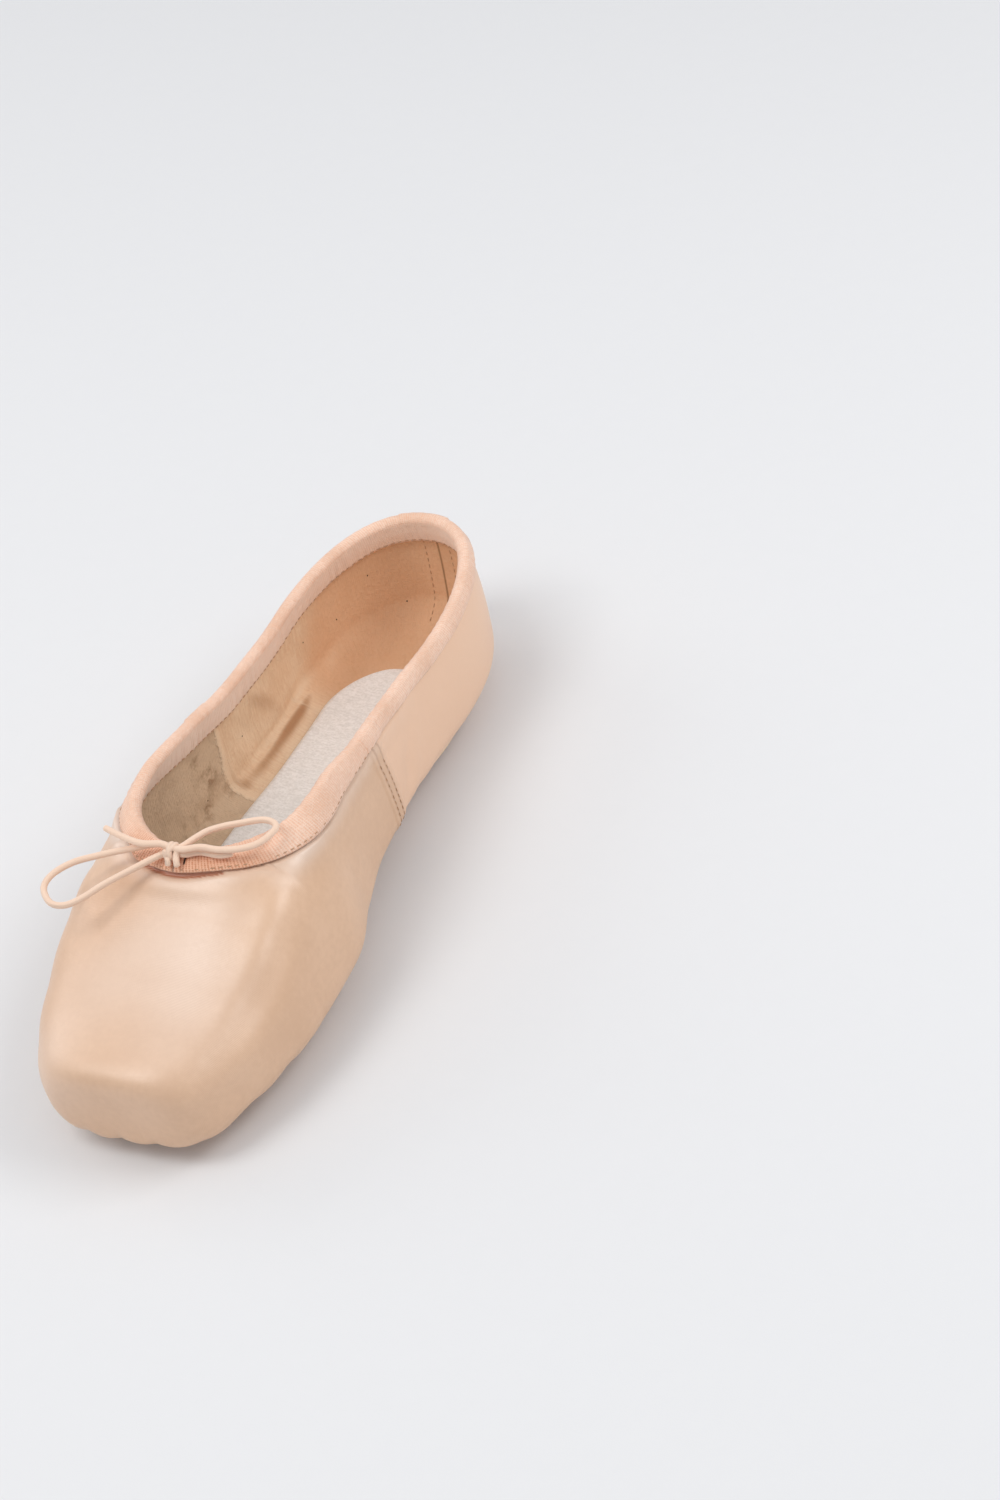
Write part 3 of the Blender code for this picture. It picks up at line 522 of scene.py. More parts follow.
def gradient(points):
    """Gradient of level, from small steps along the three axes."""
    step = 1e-6
    moves = np.eye(3) * step
    parts = [(level(points + move) - level(points - move)) / (2 * step) for move in moves]
    return np.stack(parts, -1)


def settle(points):
    """Move points along the gradient onto the last's surface."""
    for _ in range(4):
        slope = gradient(points)
        points = points - (level(points) / (slope ** 2).sum(-1))[..., None] * slope
    return points


def raised(points, extra=0.0):
    """Height of the heel strip and the side seams above the satin round them."""
    x, u, z = points[..., 0], points[..., 1] + LENGTH / 2, points[..., 2]
    strip = 1 - ramp(np.abs(x), STRIP_WIDTH / 2 + extra, STRIP_WIDTH / 2 + extra + STEP_RUN)
    strip = strip * ramp(u, HEEL_CENTRE + 0.30 * HEEL_REACH, HEEL_CENTRE + 0.42 * HEEL_REACH)
    far = np.abs(u - SEAM_AT)
    seam = 1 - ramp(far, SEAM_WIDTH / 2 + extra, SEAM_WIDTH / 2 + extra + STEP_RUN)
    seam = seam * ramp(z, SEAM_START, SEAM_START + BELLY_HEIGHT / 4)
    return STRIP_RAISE * strip + SEAM_RAISE * seam


def walk(points, weight, count):
    """Indices, as fractions, of count points spaced evenly along a line by length times weight."""
    step = np.linalg.norm(np.diff(points, axis=0), axis=-1)
    run = np.concatenate([[0], np.cumsum(step * (weight[1:] + weight[:-1]) / 2)])
    return np.interp(np.linspace(0, run[-1], count), run, np.arange(len(run)))


def pick(values, at):
    """Read an array at fractional indices."""
    return np.interp(at, np.arange(len(values)), values)


def upper_places(count):
    """Values of t, closest together at the seam's edges, the throat's welt and the strip's edges."""
    s = np.linspace(0, 1, 400)
    cap = CAP_DEPTH * (1 - (1 - s ** CAP_ROUND) ** (1 / CAP_ROUND))
    t = np.concatenate([cap[:-1], np.linspace(CAP_DEPTH, HEEL_CENTRE, 1600)]) / HEEL_CENTRE
    t = np.concatenate([t, np.linspace(1, 2, 600)[1:]])
    line = outer(t, np.radians(20.0))
    u = t * HEEL_CENTRE
    close = (hump(u, SEAM_AT - SEAM_WIDTH / 2, EDGE_SPREAD)
             + hump(u, SEAM_AT + SEAM_WIDTH / 2, EDGE_SPREAD)
             + 0.9 * hump(u, VAMP_LENGTH - TAPE_LEG, 0.004))
    close = close + np.where(t > 1, hump(np.abs(line[:, 0]), STRIP_WIDTH / 2, EDGE_SPREAD), 0)
    places = pick(t, walk(line, 1 + 2.2 * close, count))
    places[0], places[-1] = 0.0, 2.0
    return places


def upper_turns(t, count):
    """Values of phi for each t: even steps of arc, closer where the section turns or the tape ends."""
    u = HEEL_CENTRE * np.minimum(t, 1)
    half, bottom, top, belly, roundness = (value[:, None] for value in section(table_place(t)))
    share = np.where(t < 1, opening_half(u), 0)[:, None] / half
    first = -np.arccos(np.clip(share, 0, 1) ** (roundness / 2))
    last = collar_turn(t)[:, None]
    phi = first + (last - first) * np.linspace(0, 1, 420)
    across = half * signed_power(np.cos(phi), 2 / roundness)
    up = signed_power(np.sin(phi), 2 / roundness)
    height = belly + np.where(up > 0, top - belly, belly - bottom) * up
    run, rise = np.diff(across), np.diff(height)
    heading = np.unwrap(np.arctan2(rise, run))
    turning = np.abs(np.diff(heading, prepend=heading[:, :1]))
    size = np.hypot(run, rise)
    from_collar = size[:, ::-1].cumsum(1)[:, ::-1]
    has_collar = (collar_share(table_place(t)) > 0.3)[:, None]
    dense = 1 + 1.6 * hump(from_collar, 1.1 * TAPE_LEG, 0.003) * has_collar
    weight = np.cumsum(size * dense + 0.006 * turning, 1)
    weight = np.concatenate([np.zeros((len(t), 1)), weight], 1)
    steps = np.linspace(0, 1, count)
    return np.stack([np.interp(steps * row[-1], row, turns) for row, turns in zip(weight, phi)])


def mirror(side):
    """Factors that keep the shoe's right side for 1 and turn it into the left one for -1."""
    return np.array([side, 1.0, 1.0])


def crease_field(points, table):
    """Depth of the creases at points: each is a bell round its line, faded towards both ends."""
    total = np.zeros(points.shape[:-1])
    share = np.linspace(0, 1, CREASE_PLACES)
    fade = np.sin(math.pi * np.clip(share, 0.04, 0.96)) ** 0.6
    for side, t0, phi0, t1, phi1, width, depth in table:
        line = outer(t0 + (t1 - t0) * share, np.radians(phi0 + (phi1 - phi0) * share)) * mirror(side)
        reach = np.zeros(points.shape[:-1])
        for place, strength in zip(line, fade):
            away = ((points - place) ** 2).sum(-1)
            reach = np.maximum(reach, strength * np.exp(-away / (width * MM) ** 2))
        total = total + depth * MM * reach
    return total


def collar_distance(points):
    """Distance of points from the front half of the collar's edge on each side."""
    edge = collar_line(COLLAR_POINTS)[:COLLAR_POINTS // 2 + 1]
    flat = points.reshape(-1, 3).copy()
    flat[:, 0] = np.abs(flat[:, 0])
    square = (flat ** 2).sum(1)[:, None] + (edge ** 2).sum(1) - 2 * flat @ edge.T
    return np.sqrt(np.maximum(square.min(1), 0)).reshape(points.shape[:-1])


def satin_relief(points, depth, look):
    """How far the satin stands off the last: strip, seams, welt, creases, pleats and soft waves."""
    x, u, z = points[..., 0], points[..., 1] + LENGTH / 2, points[..., 2]
    below = depth - outer_leg(points)
    gap = crescent_gap(x, u, below)
    free = ramp(below, -0.001, 0.0012)
    from_seam = np.abs(u - SEAM_AT)
    stitched = ramp(from_seam, 0, 0.012)
    along_wave = np.sin(u / 0.0058 + 1.8 * np.sin(x / 0.017 + z / 0.021))
    wave = (along_wave * np.sin(z / 0.011 + x / 0.013 + u / 0.031)
            + 0.7 * np.sin(u / 0.0117 + x / 0.015 - z / 0.009))
    pucker = np.sin(z / RIPPLE_PITCH + 1.6 * np.sin(z / 0.0017)) * hump(from_seam, SEAM_WIDTH / 2, 0.0032)
    welt_wave = 1 + 0.16 * np.sin(u / 0.0021 + 1.4 * np.sin(u / 0.0047)) + 0.1 * np.sin(u / 0.0009)
    front = 1 - ramp(u, VAMP_LENGTH - 0.004, CRESCENT_END)
    start = 0.0002 + 0.0012 * front * crescent(x, u)
    rim = ramp(below, start, start + 0.0011) * (1 - ramp(below, start + 0.0010, start + 0.0085))
    rim = rim * (1 - 0.45 * front - 0.40 * ramp(u, SEAM_AT - 0.02, SEAM_AT + 0.01))
    height = raised(points)
    height = height + look.welt_height * rim * welt_wave
    height = height - CRESCENT_SINK * gap
    height = height - free * look.crease_scale * crease_field(points, CREASES)
    height = height + free * look.wave_height * wave * (0.35 + 0.65 * stitched) * ramp(u, 0.002, 0.02)
    height = height + free * 0.00009 * pucker * ramp(z, SEAM_START, 2 * SEAM_START)
    return height + pleats(x, u, z, look)


def crescent(x, u):
    """Share of the crescent's depth: a parabola across the throat's front, 0 beyond it."""
    return np.clip(1 - ((x - CRESCENT_MIDDLE) / CRESCENT_HALF) ** 2, 0, 1) * (u < CRESCENT_END)


def crescent_gap(x, u, below):
    """Mask of the gap between tape and satin in front of the throat: a crescent just below the tape."""
    width = CRESCENT_DEPTH * crescent(x, u)
    under = ramp(below, -0.0012, -0.0002) * (width > 1e-6)
    return (1 - ramp(below, 0.7 * width, 1.1 * width + 1e-5)) * under


def pleats(x, u, z, look):
    """Pleats round the front and the back end of the sole: |sin| ridges that fan from the sole.

    The angle is taken round the centre of each end, and the pleats fade with distance from it.
    """
    total = 0
    for centre, sign, radius, count, reach in PLEATS:
        ahead = sign * (u - centre)
        angle = np.arctan2(np.abs(x), ahead)
        away = np.hypot(x, ahead) - radius
        ridge = np.abs(np.sin(count / 2 * angle + 0.9 * np.sin(4 * angle + np.sign(x) * 0.7))) ** 0.7 - 0.55
        fade = ramp(away, -0.001, 0.0015) * (1 - ramp(away, 0.45 * reach, reach))
        low = 1 - ramp(z, 0.40 * BELLY_HEIGHT, 0.72 * BELLY_HEIGHT)
        total = total + look.pleat_height * ridge * fade * low * (1 - ramp(angle, 1.5, 1.9))
    return total


def grid_quads(rows, columns, start=0):
    """Quads of a grid whose vertices run along its columns first."""
    i, j = np.meshgrid(np.arange(rows - 1), np.arange(columns - 1), indexing="ij")
    a = (start + i * columns + j).ravel()
    return np.stack([a, a + 1, a + columns + 1, a + columns], 1)


def tube_quads(rows, columns, start=0, closed=False):
    """Quads of a grid closed across its columns, and along its rows too where closed is true."""
    last = rows if closed else rows - 1
    i, j = np.meshgrid(np.arange(last), np.arange(columns), indexing="ij")
    a = start + i * columns + j
    b = start + i * columns + (j + 1) % columns
    c = start + ((i + 1) % rows) * columns + (j + 1) % columns
    d = start + ((i + 1) % rows) * columns + j
    return np.stack([a, b, c, d], -1).reshape(-1, 4)


def new_piece(name, points, quads, materials, uv=None, fields=None, slots=None):
    """Make a smooth mesh object from arrays, merge its doubles and turn its faces outwards."""
    mesh = bpy.data.meshes.new(name)
    mesh.vertices.add(len(points))
    mesh.vertices.foreach_set("co", points.astype(np.float32).ravel())
    mesh.loops.add(quads.size)
    mesh.loops.foreach_set("vertex_index", quads.astype(np.int32).ravel())
    mesh.polygons.add(len(quads))
    mesh.polygons.foreach_set("loop_start", np.arange(0, quads.size, 4, dtype=np.int32))
    if slots is not None:
        mesh.polygons.foreach_set("material_index", slots.astype(np.int32))
    mesh.update(calc_edges=True)
    if uv is not None:
        layer = mesh.uv_layers.new(name="UVMap")
        layer.data.foreach_set("uv", uv[quads.ravel()].astype(np.float32).ravel())
    for label, values in (fields or {}).items():
        field = mesh.attributes.new(label, "FLOAT", "POINT")
        field.data.foreach_set("value", values.astype(np.float32).ravel())
    shape = bmesh.new()
    shape.from_mesh(mesh)
    bmesh.ops.remove_doubles(shape, verts=shape.verts, dist=WELD)
    bmesh.ops.dissolve_degenerate(shape, dist=WELD / 2, edges=shape.edges)
    bmesh.ops.recalc_face_normals(shape, faces=shape.faces)
    shape.to_mesh(mesh)
    shape.free()
    mesh.shade_smooth()
    for material in materials:
        mesh.materials.append(material)
    thing = bpy.data.objects.new(name, mesh)
    bpy.context.scene.collection.objects.link(thing)
    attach(thing, "root")
    return thing


def make_upper(look, satin, lining):
    """Build the upper: satin outside and lining inside, joined at the collar and at the seat.

    Every point is outer(t, phi) + normal * relief outside, and outer(t, phi) - normal * (wall + folds)
    inside.
    """
    t = upper_places(look.upper_rows)
    phi = upper_turns(t, look.upper_columns)
    rows, columns = phi.shape
    grid = np.repeat(t[:, None], columns, 1)
    base = outer(grid, phi)
    normal = outer_normal(grid, phi)
    depth = collar_distance(base)
    around = np.linalg.norm(np.diff(base, axis=1, prepend=base[:, :1]), axis=-1).cumsum(1)
    steps = np.diff(outer(t, np.radians(20.0)), axis=0, prepend=outer(t[:1], 0.35))
    along = np.linalg.norm(steps, axis=-1).cumsum()
    none = np.zeros(base.shape[:-1])
    sheets, maps = [], []
    fields = {"stain": [], "below_tape": [], "lining_fold": [], "shine": [], "tape_gap": []}
    for side in (1, -1):
        here = base * mirror(side)
        face = base + normal * satin_relief(here, depth, look)[..., None]
        folds = crease_field(here, LINING_FOLDS)
        inward = wall(grid) + folds * ramp(depth, TAPE_LEG, 1.4 * TAPE_LEG)
        inside = base - normal * inward[..., None]
        inside[..., 0] = np.maximum(inside[..., 0], 0)
        sheets += [face * mirror(side), inside * mirror(side)]
        place = np.stack([np.repeat(along[:, None], columns, 1), around * side], -1)
        maps += [place, place]
        spots = none.copy()
        for on_side, spot_t, turn, spread, strength in STAINS:
            away = ((base - outer(spot_t, np.radians(turn))) ** 2).sum(-1)
            spots += (on_side == side) * strength * np.exp(-away / (spread * MM) ** 2)
        below = depth - outer_leg(here)
        gap = crescent_gap(here[..., 0], here[..., 1] + LENGTH / 2, below)
        fields["stain"] += [spots, spots]
        fields["below_tape"] += [below, below]
        fields["lining_fold"] += [none, np.clip(folds * 1000, -1, 1.5)]
        # Mask of the satin's painted highlights.
        fields["shine"] += [np.clip(crease_field(here, PAINTED_HIGHLIGHTS), 0, 1), none]
        fields["tape_gap"] += [gap, none]
    points = np.concatenate([sheet.reshape(-1, 3) for sheet in sheets])
    count = rows * columns
    quads = [grid_quads(rows, columns, k * count) for k in range(4)]
    slots = [np.full(len(quad), k % 2) for k, quad in enumerate(quads)]
    i = np.arange(rows - 1)
    for skin in (0, 2 * count):
        for j in (0, columns - 1):
            a = skin + i * columns + j
            b = a + columns
            open_rim = np.maximum(np.abs(points[a, 0]), np.abs(points[b, 0])) > 1e-6
            rim = np.stack([a, b, b + count, a + count], 1)[open_rim]
            quads.append(rim)
            slots.append(np.zeros(len(rim)))
    piece = new_piece("satin_upper", points, np.concatenate(quads), [satin, lining],
                      np.concatenate([uv.reshape(-1, 2) for uv in maps]),
                      {label: np.concatenate([value.ravel() for value in values])
                       for label, values in fields.items()},
                      np.concatenate(slots))
    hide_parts("upper")


def collar_line(count):
    """Edge points of the collar, evenly spaced, from the throat round the back to the throat again."""
    s = np.linspace(0, 1, 500)
    throat = VAMP_LENGTH + THROAT_REACH * (1 - (1 - s ** THROAT_ROUND) ** (1 / THROAT_ROUND))
    side = np.linspace(VAMP_LENGTH + THROAT_REACH, HEEL_CENTRE, 500)
    t = np.concatenate([throat[:-1], side]) / HEEL_CENTRE
    t = np.concatenate([t, np.linspace(1, 2, 400)[1:]])
    t = pick(t, walk(outer(t, collar_turn(t)), np.ones(len(t)), count))
    right = outer(t, collar_turn(t))
    right[0, 0] = 0.0
    left = right[-2:0:-1] * mirror(-1.0)
    return np.concatenate([right, left])


def tape_rows(edge, depths):
    """Points and normals on the last at depths below the collar, at right angles to its edge."""
    along = unit(np.roll(edge, -1, 0) - np.roll(edge, 1, 0))
    points = settle(edge)
    rows = []
    depth = 0.0
    for target in depths:
        while depth < target - 1e-9:
            stride = min(0.001, target - depth)
            down = unit(np.cross(along, unit(gradient(points))))
            points = settle(points + down * stride)
            depth += stride
        rows.append((points, unit(gradient(points))))
    return np.stack([row[0] for row in rows]), np.stack([row[1] for row in rows])


def outer_leg(points):
    """Depth of the tape's outer leg: full along the throat, less over the crescent gap and behind."""
    x, u = points[..., 0], points[..., 1] + LENGTH / 2
    left_side = ramp(-x, 0.010, 0.018) * ramp(u, VAMP_LENGTH - 0.006, VAMP_LENGTH + 0.004)
    left_side = 2.1 * left_side * (1 - ramp(u, VAMP_LENGTH + 0.020, VAMP_LENGTH + 0.045))
    behind = ramp(u, SEAM_AT - 0.034, SEAM_AT + 0.006)
    return TAPE_LEG - CRESCENT_DEPTH * (crescent(x, u) + left_side) - LEG_CUT * behind


def read_rows(grid, at):
    """Read rows of a grid at a fractional row for each column."""
    low = np.clip(at.astype(int), 0, len(grid) - 2)
    share = (at - low)[:, None]
    columns = np.arange(grid.shape[1])
    return grid[low, columns] * (1 - share) + grid[low + 1, columns] * share


class Tape:
    """Places on the folded tape: rows of surface points, their normals, lift and wall thickness."""

    def __init__(self, count):
        self.edge = collar_line(count)
        shares = np.linspace(0, 1, TAPE_ROWS)
        fine = np.arange(0, TAPE_LEG + TAPE_ROW_STEP / 2, TAPE_ROW_STEP)
        points, normals = tape_rows(self.edge, fine)
        leg = outer_leg(self.edge)
        outward = [share * leg / TAPE_ROW_STEP for share in shares]
        inward = [np.full(len(self.edge), share * TAPE_LEG / TAPE_ROW_STEP) for share in shares]
        self.points = np.stack([read_rows(points, at) for at in outward + inward])
        self.normals = unit(np.stack([read_rows(normals, at) for at in outward + inward]))
        along = unit(np.roll(self.edge, -1, 0) - np.roll(self.edge, 1, 0))
        self.up = -unit(np.cross(along, self.normals[0]))
        self.lift = raised(self.points, SEAM_OVERLAP)
        self.thick = wall(np.minimum((self.points[..., 1] + LENGTH / 2) / HEEL_CENTRE, 1))
        self.run = np.linalg.norm(np.diff(self.edge, axis=0, prepend=self.edge[:1]), axis=1).cumsum()

    def outside(self, row, out):
        """Row of points out along the normals from the satin."""
        return self.points[row] + self.normals[row] * (self.lift[row] + out)[:, None]

    def inside(self, row, out):
        """Row of points inwards from the lining."""
        row = row + TAPE_ROWS
        return self.points[row] - self.normals[row] * (self.thick[row] + out)[:, None]


def make_casing(cloth):
    """Build the folded tape: a ring profile of two legs and a round crown, carried round the collar.

    The legs stand out by gap + thickness + channel bulge + ripple; the crown is a half ellipse.
    """
    depths = np.linspace(0, 1, TAPE_ROWS) * TAPE_LEG
    tape = Tape(TAPE_POINTS)
    full = TAPE_GAP + TAPE_THICKNESS
    s = tape.run
    rings = []

    def bulge(row, phase):
        """Extra height of a leg: the cord's channel, soft ripples and a thin lower edge."""
        d = depths[row]
        channel = CHANNEL_HEIGHT * hump(d, 0.48 * TAPE_LEG, 0.0022)
        pucker = np.sin(s / RIPPLE_PITCH + phase + d * 180 + 1.5 * np.sin(s / 0.0027))
        pucker = pucker * (0.6 + 0.4 * np.sin(s / 0.0051))
        ripple = (0.00009 + 0.00006 * (phase > 1)) * pucker + 0.00008 * np.sin(s / 0.0031 + 2 * phase)
        return channel + ripple * ramp(d, 0, 0.002) - 0.00045 * ramp(d, TAPE_LEG - 0.0009, TAPE_LEG)

    for row in range(TAPE_ROWS - 1, 0, -1):
        rings.append(tape.outside(row, full + bulge(row, 0.4)))
    half = tape.thick[0] / 2
    middle = tape.points[0] - tape.normals[0] * half[:, None]
    for angle in np.linspace(0, math.pi, CROWN_RINGS):
        reach = (half + full + (tape.lift[0] if angle < math.pi / 2 else 0)) * math.cos(angle)
        crown = full + 0.0002 + 0.00010 * np.sin(s / RIPPLE_PITCH + 1.2 + 1.5 * np.sin(s / 0.0027))
        rings.append(middle + tape.normals[0] * reach[:, None] + tape.up * crown[:, None] * math.sin(angle))
    for row in range(1, TAPE_ROWS):
        rings.append(tape.inside(row, full + bulge(row, 1.9) * 0.8))
    back = TAPE_ROWS - 1
    rings += [tape.inside(back, TAPE_GAP), tape.inside(0, TAPE_GAP),
              tape.points[0] + tape.up * TAPE_GAP,
              tape.outside(0, TAPE_GAP), tape.outside(back // 2, TAPE_GAP),
              tape.outside(back, TAPE_GAP)]
    rings = np.stack(rings, 1)
    count, around = rings.shape[:2]
    girth = np.linalg.norm(np.diff(rings, axis=1, prepend=rings[:, :1]), axis=-1).cumsum(1)
    uv = np.stack([np.repeat(s[:, None], around, 1), girth], -1).reshape(-1, 2)
    inner = np.zeros((count, around))
    inner[:, TAPE_ROWS - 2 + CROWN_RINGS:] = 1
    piece = new_piece("casing_tape", rings.reshape(-1, 3), tube_quads(count, around, closed=True),
                      [cloth], uv, {"inner": inner})
    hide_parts("casing")


def run_along(points):
    """Distance run along a line at each of its points."""
    return np.concatenate([[0], np.linalg.norm(np.diff(points, axis=0), axis=1).cumsum()])


def read_line(at, run, values):
    """Read vectors that belong to the points of a line at distances run along it."""
    return np.stack([np.interp(at, run, values[:, axis]) for axis in range(3)], -1)


def stitch_mesh(lines, length, gap, width, height):
    """Points and quads of stitches laid end to end along lines of points with normals.

    Each stitch is an ellipsoid with flattened ends: length along the line, half sunk in the cloth.
    """
    rise = np.linspace(-math.pi / 2, math.pi / 2, STITCH_RINGS)
    turn = np.linspace(0, 2 * math.pi, STITCH_SIDES + 1)[:-1]
    rise, turn = np.meshgrid(rise, turn, indexing="ij")
    form = np.stack([np.sin(rise) * length / 2, np.cos(rise) ** 0.7 * np.cos(turn) * width / 2,
                     np.cos(rise) ** 0.7 * np.sin(turn) * height], -1).reshape(-1, 3)
    all_points, all_quads = [], []
    start = 0
    for points, normals in lines:
        run = run_along(points)
        middles = np.arange(length / 2, run[-1] - length / 2, length + gap)
        read = read_line(middles, run, points)
        normal = unit(read_line(middles, run, normals))
        along = unit(read_line(middles + length / 2, run, points) - read)
        across = unit(np.cross(normal, along))
        axes = np.stack([along, across, np.cross(along, across)], 1)
        placed = read[:, None] + np.einsum("vk,nkc->nvc", form, axes)
        all_points.append(placed.reshape(-1, 3))
        firsts = start + np.arange(len(middles)) * len(form)
        quads = tube_quads(STITCH_RINGS, STITCH_SIDES)
        all_quads.append((quads[None] + firsts[:, None, None]).reshape(-1, 4))
        start += len(placed) * len(form)
    return np.concatenate(all_points), np.concatenate(all_quads)


def seam_line(u_place, side, low, clear):
    """A line up the upper at one place of its length, over low and clear of the collar."""
    t = u_place / HEEL_CENTRE
    phi = np.linspace(-1.2, float(collar_turn(np.array(t))), 500)
    points = outer(t, phi)
    normals = outer_normal(t, phi)
    depth = collar_distance(points)
    keep = (points[:, 2] > low) & (depth > clear)
    points = points[keep] + normals[keep] * raised(points[keep])[:, None]
    return points * mirror(side), normals[keep] * mirror(side)


def strip_line(offset, side, inside=False):
    """A line up the middle of the back at a distance from it, over the strip or over the lining."""
    phi = np.linspace(-0.6, float(collar_turn(np.array(2.0))), 400)
    half, _, _, _, roundness = section(np.array(1.0))
    across = signed_power(np.cos(phi), 2 / roundness)
    turn = np.arccos((offset / (half * across)) ** (PLAN_ROUND / 2))
    t = 1 + turn / (math.pi / 2)
    points = outer(t, phi)
    normals = outer_normal(t, phi)
    depth = collar_distance(points)
    keep = depth > 1.12 * TAPE_LEG
    keep &= points[:, 2] > (0.008 if inside else 0.011)
    out = -wall(t) if inside else raised(points)
    facing = -1 if inside else 1
    points = points + normals * out[:, None]
    return points[keep] * mirror(side), normals[keep] * mirror(side) * facing


def make_stitches(look, thread):
    """Build the seams' stitch rows: tape outside and inside, side seams, heel strip and back seam."""
    tape = Tape(SEAM_POINTS)
    full = TAPE_GAP + TAPE_THICKNESS
    near_edge = TAPE_ROWS - 2
    inner, outside = tape.inside(near_edge, full + 0.0001), tape.outside(near_edge, full - 0.0001)
    facing = -tape.normals[near_edge + TAPE_ROWS]
    lines = [(np.concatenate([inner, inner[:1]]), np.concatenate([facing, facing[:1]]))]
    front = np.where(outside[:, 1] < SEAM_Y)[0]
    order = np.concatenate([front[front > len(outside) // 2], front[front <= len(outside) // 2]])
    lines.append((outside[order], tape.normals[near_edge][order]))
    for side in (1, -1):
        for place in (-SEAM_ROW, SEAM_ROW):
            lines.append(seam_line(SEAM_AT + place, side, 1.1 * SEAM_START, 1.06 * TAPE_LEG))
        lines.append(strip_line(STRIP_WIDTH / 2 - 0.0014, side))
    lines.append(strip_line(BACK_SEAM_ROW, -1, True))
    lines.append(strip_line(BACK_STRIP_ROW, 1, True))
    points, quads = stitch_mesh(lines, look.stitch_length, look.stitch_gap, STITCH_WIDTH, STITCH_HEIGHT)
    piece = new_piece("stitches", points, quads, [thread])


def make_slit(dark):
    """Build the slit that the drawstring leaves by: a flat dark lens across the tape's front, painted shade
    where the opening is.
    """
    tape = Tape(SEAM_POINTS)
    not_front = tape.edge[:, 1] > -0.03
    place = int(np.argmin(np.abs(tape.edge[:, 0] - SLIT_AT) + 10 * not_front))
    full = TAPE_GAP + TAPE_THICKNESS + CHANNEL_HEIGHT
    rows = (3, 4, 5, 6, 7)
    points = np.stack([tape.outside(row, full)[place] for row in rows])
    normals = np.stack([tape.normals[row][place] for row in rows])
    length = float(np.linalg.norm(np.diff(points, axis=0), axis=1).sum())
    points, quads = stitch_mesh([(points, normals)], 0.98 * length, 1.0, SLIT_WIDTH, SLIT_HEIGHT)
    piece = new_piece("tape_slit", points, quads, [dark])


def make_pin_holes(dark):
    """Build the pin holes of the lining as small dark pits: flat ellipsoids in its surface, dark as painted
    shade inside the holes.
    """
    lines = []
    for side, t, turn in PIN_HOLES:
        phi = np.radians(turn) + np.array([-0.004, 0.004])
        normals = outer_normal(t, phi) * mirror(side)
        points = outer(t, phi) * mirror(side) - normals * (wall(t) + 0.00002)
        span = unit(points[1:] - points[:1])
        points = points.mean(0) + span * np.array([[-0.00042], [0.00042]])
        lines.append((points, -normals))
    points, quads = stitch_mesh(lines, PIN_HOLE_LENGTH, PIN_HOLE_GAP, PIN_HOLE_WIDTH, PIN_HOLE_DEPTH)
    piece = new_piece("pin_holes", points, quads, [dark])


def slab(name, x, y, top, bottom, material, fields):
    """Close a plate between two height fields over one plan grid."""
    rows, columns = x.shape
    points = np.concatenate([np.stack([x, y, z], -1).reshape(-1, 3) for z in (top, bottom)])
    count = rows * columns
    quads = [grid_quads(rows, columns), grid_quads(rows, columns, count)]
    i = np.arange(rows - 1)
    for j in (0, columns - 1):
        a = i * columns + j
        quads.append(np.stack([a, a + columns, a + columns + count, a + count], 1))
    j = np.arange(columns - 1)
    for i in (0, rows - 1):
        a = i * columns + j
        quads.append(np.stack([a, a + 1, a + 1 + count, a + count], 1))
    uv = np.stack([x, y], -1).reshape(-1, 2)
    fields = {label: np.tile(value.ravel(), 2) for label, value in fields.items()}
    return new_piece(name, points, np.concatenate(quads), [material], np.concatenate([uv, uv]), fields)


def slab_shares():
    """Shares of a plate's half width, closest together at its edges."""
    return np.sin(np.linspace(-math.pi / 2, math.pi / 2, SLAB_COLUMNS))


def end_spaced(start, stop, count, start_round, stop_round, ends):
    """Places from start to stop that crowd towards its two round ends."""
    quarter = np.linspace(0, math.pi / 2, ends)[:-1]
    first = start + start_round * (1 - np.cos(quarter))
    last = stop - stop_round * (1 - np.cos(quarter[::-1]))
    return np.concatenate([first, np.linspace(start + start_round, stop - stop_round, count), last])


def make_outsole(leather):
    """Build the outsole: top = upper's underside - gap, bottom = top - thickness with round edges."""
    u = end_spaced(SOLE_FRONT + 1e-5, SOLE_BACK - 1e-5, 110, SOLE_FRONT_ROUND, SOLE_BACK_ROUND, 26)
    share = slab_shares()
    half = sole_half(u)
    x = half[:, None] * share
    u = np.repeat(u[:, None], len(share), 1)
    top = underside(x, u) - GAP
    front, back = round_end(u - SOLE_FRONT, 0.006), round_end(SOLE_BACK - u, 0.003)
    near_edge = np.maximum(np.abs(share) ** 6, (1 - front) ** 2)
    thickness = SOLE_THICKNESS - (SOLE_THICKNESS - SOLE_EDGE) * near_edge
    round_off = 0.0004 * np.clip((np.abs(share) - 0.97) / 0.03, 0, 1) ** 2
    bottom = np.maximum(top - thickness, 0) + round_off
    to_end = np.minimum(u - SOLE_FRONT, SOLE_BACK - u)
    to_edge = np.minimum(half[:, None] * (1 - np.abs(share)), to_end)
    groove = GROOVE_DEPTH * hump(to_edge, GROOVE_AT, GROOVE_WIDTH) * np.minimum(front, back)
    piece = slab("leather_outsole", x, u - LENGTH / 2, top, bottom + groove, leather,
                 {"to_edge": to_edge * 1000})
    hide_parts("outsole")


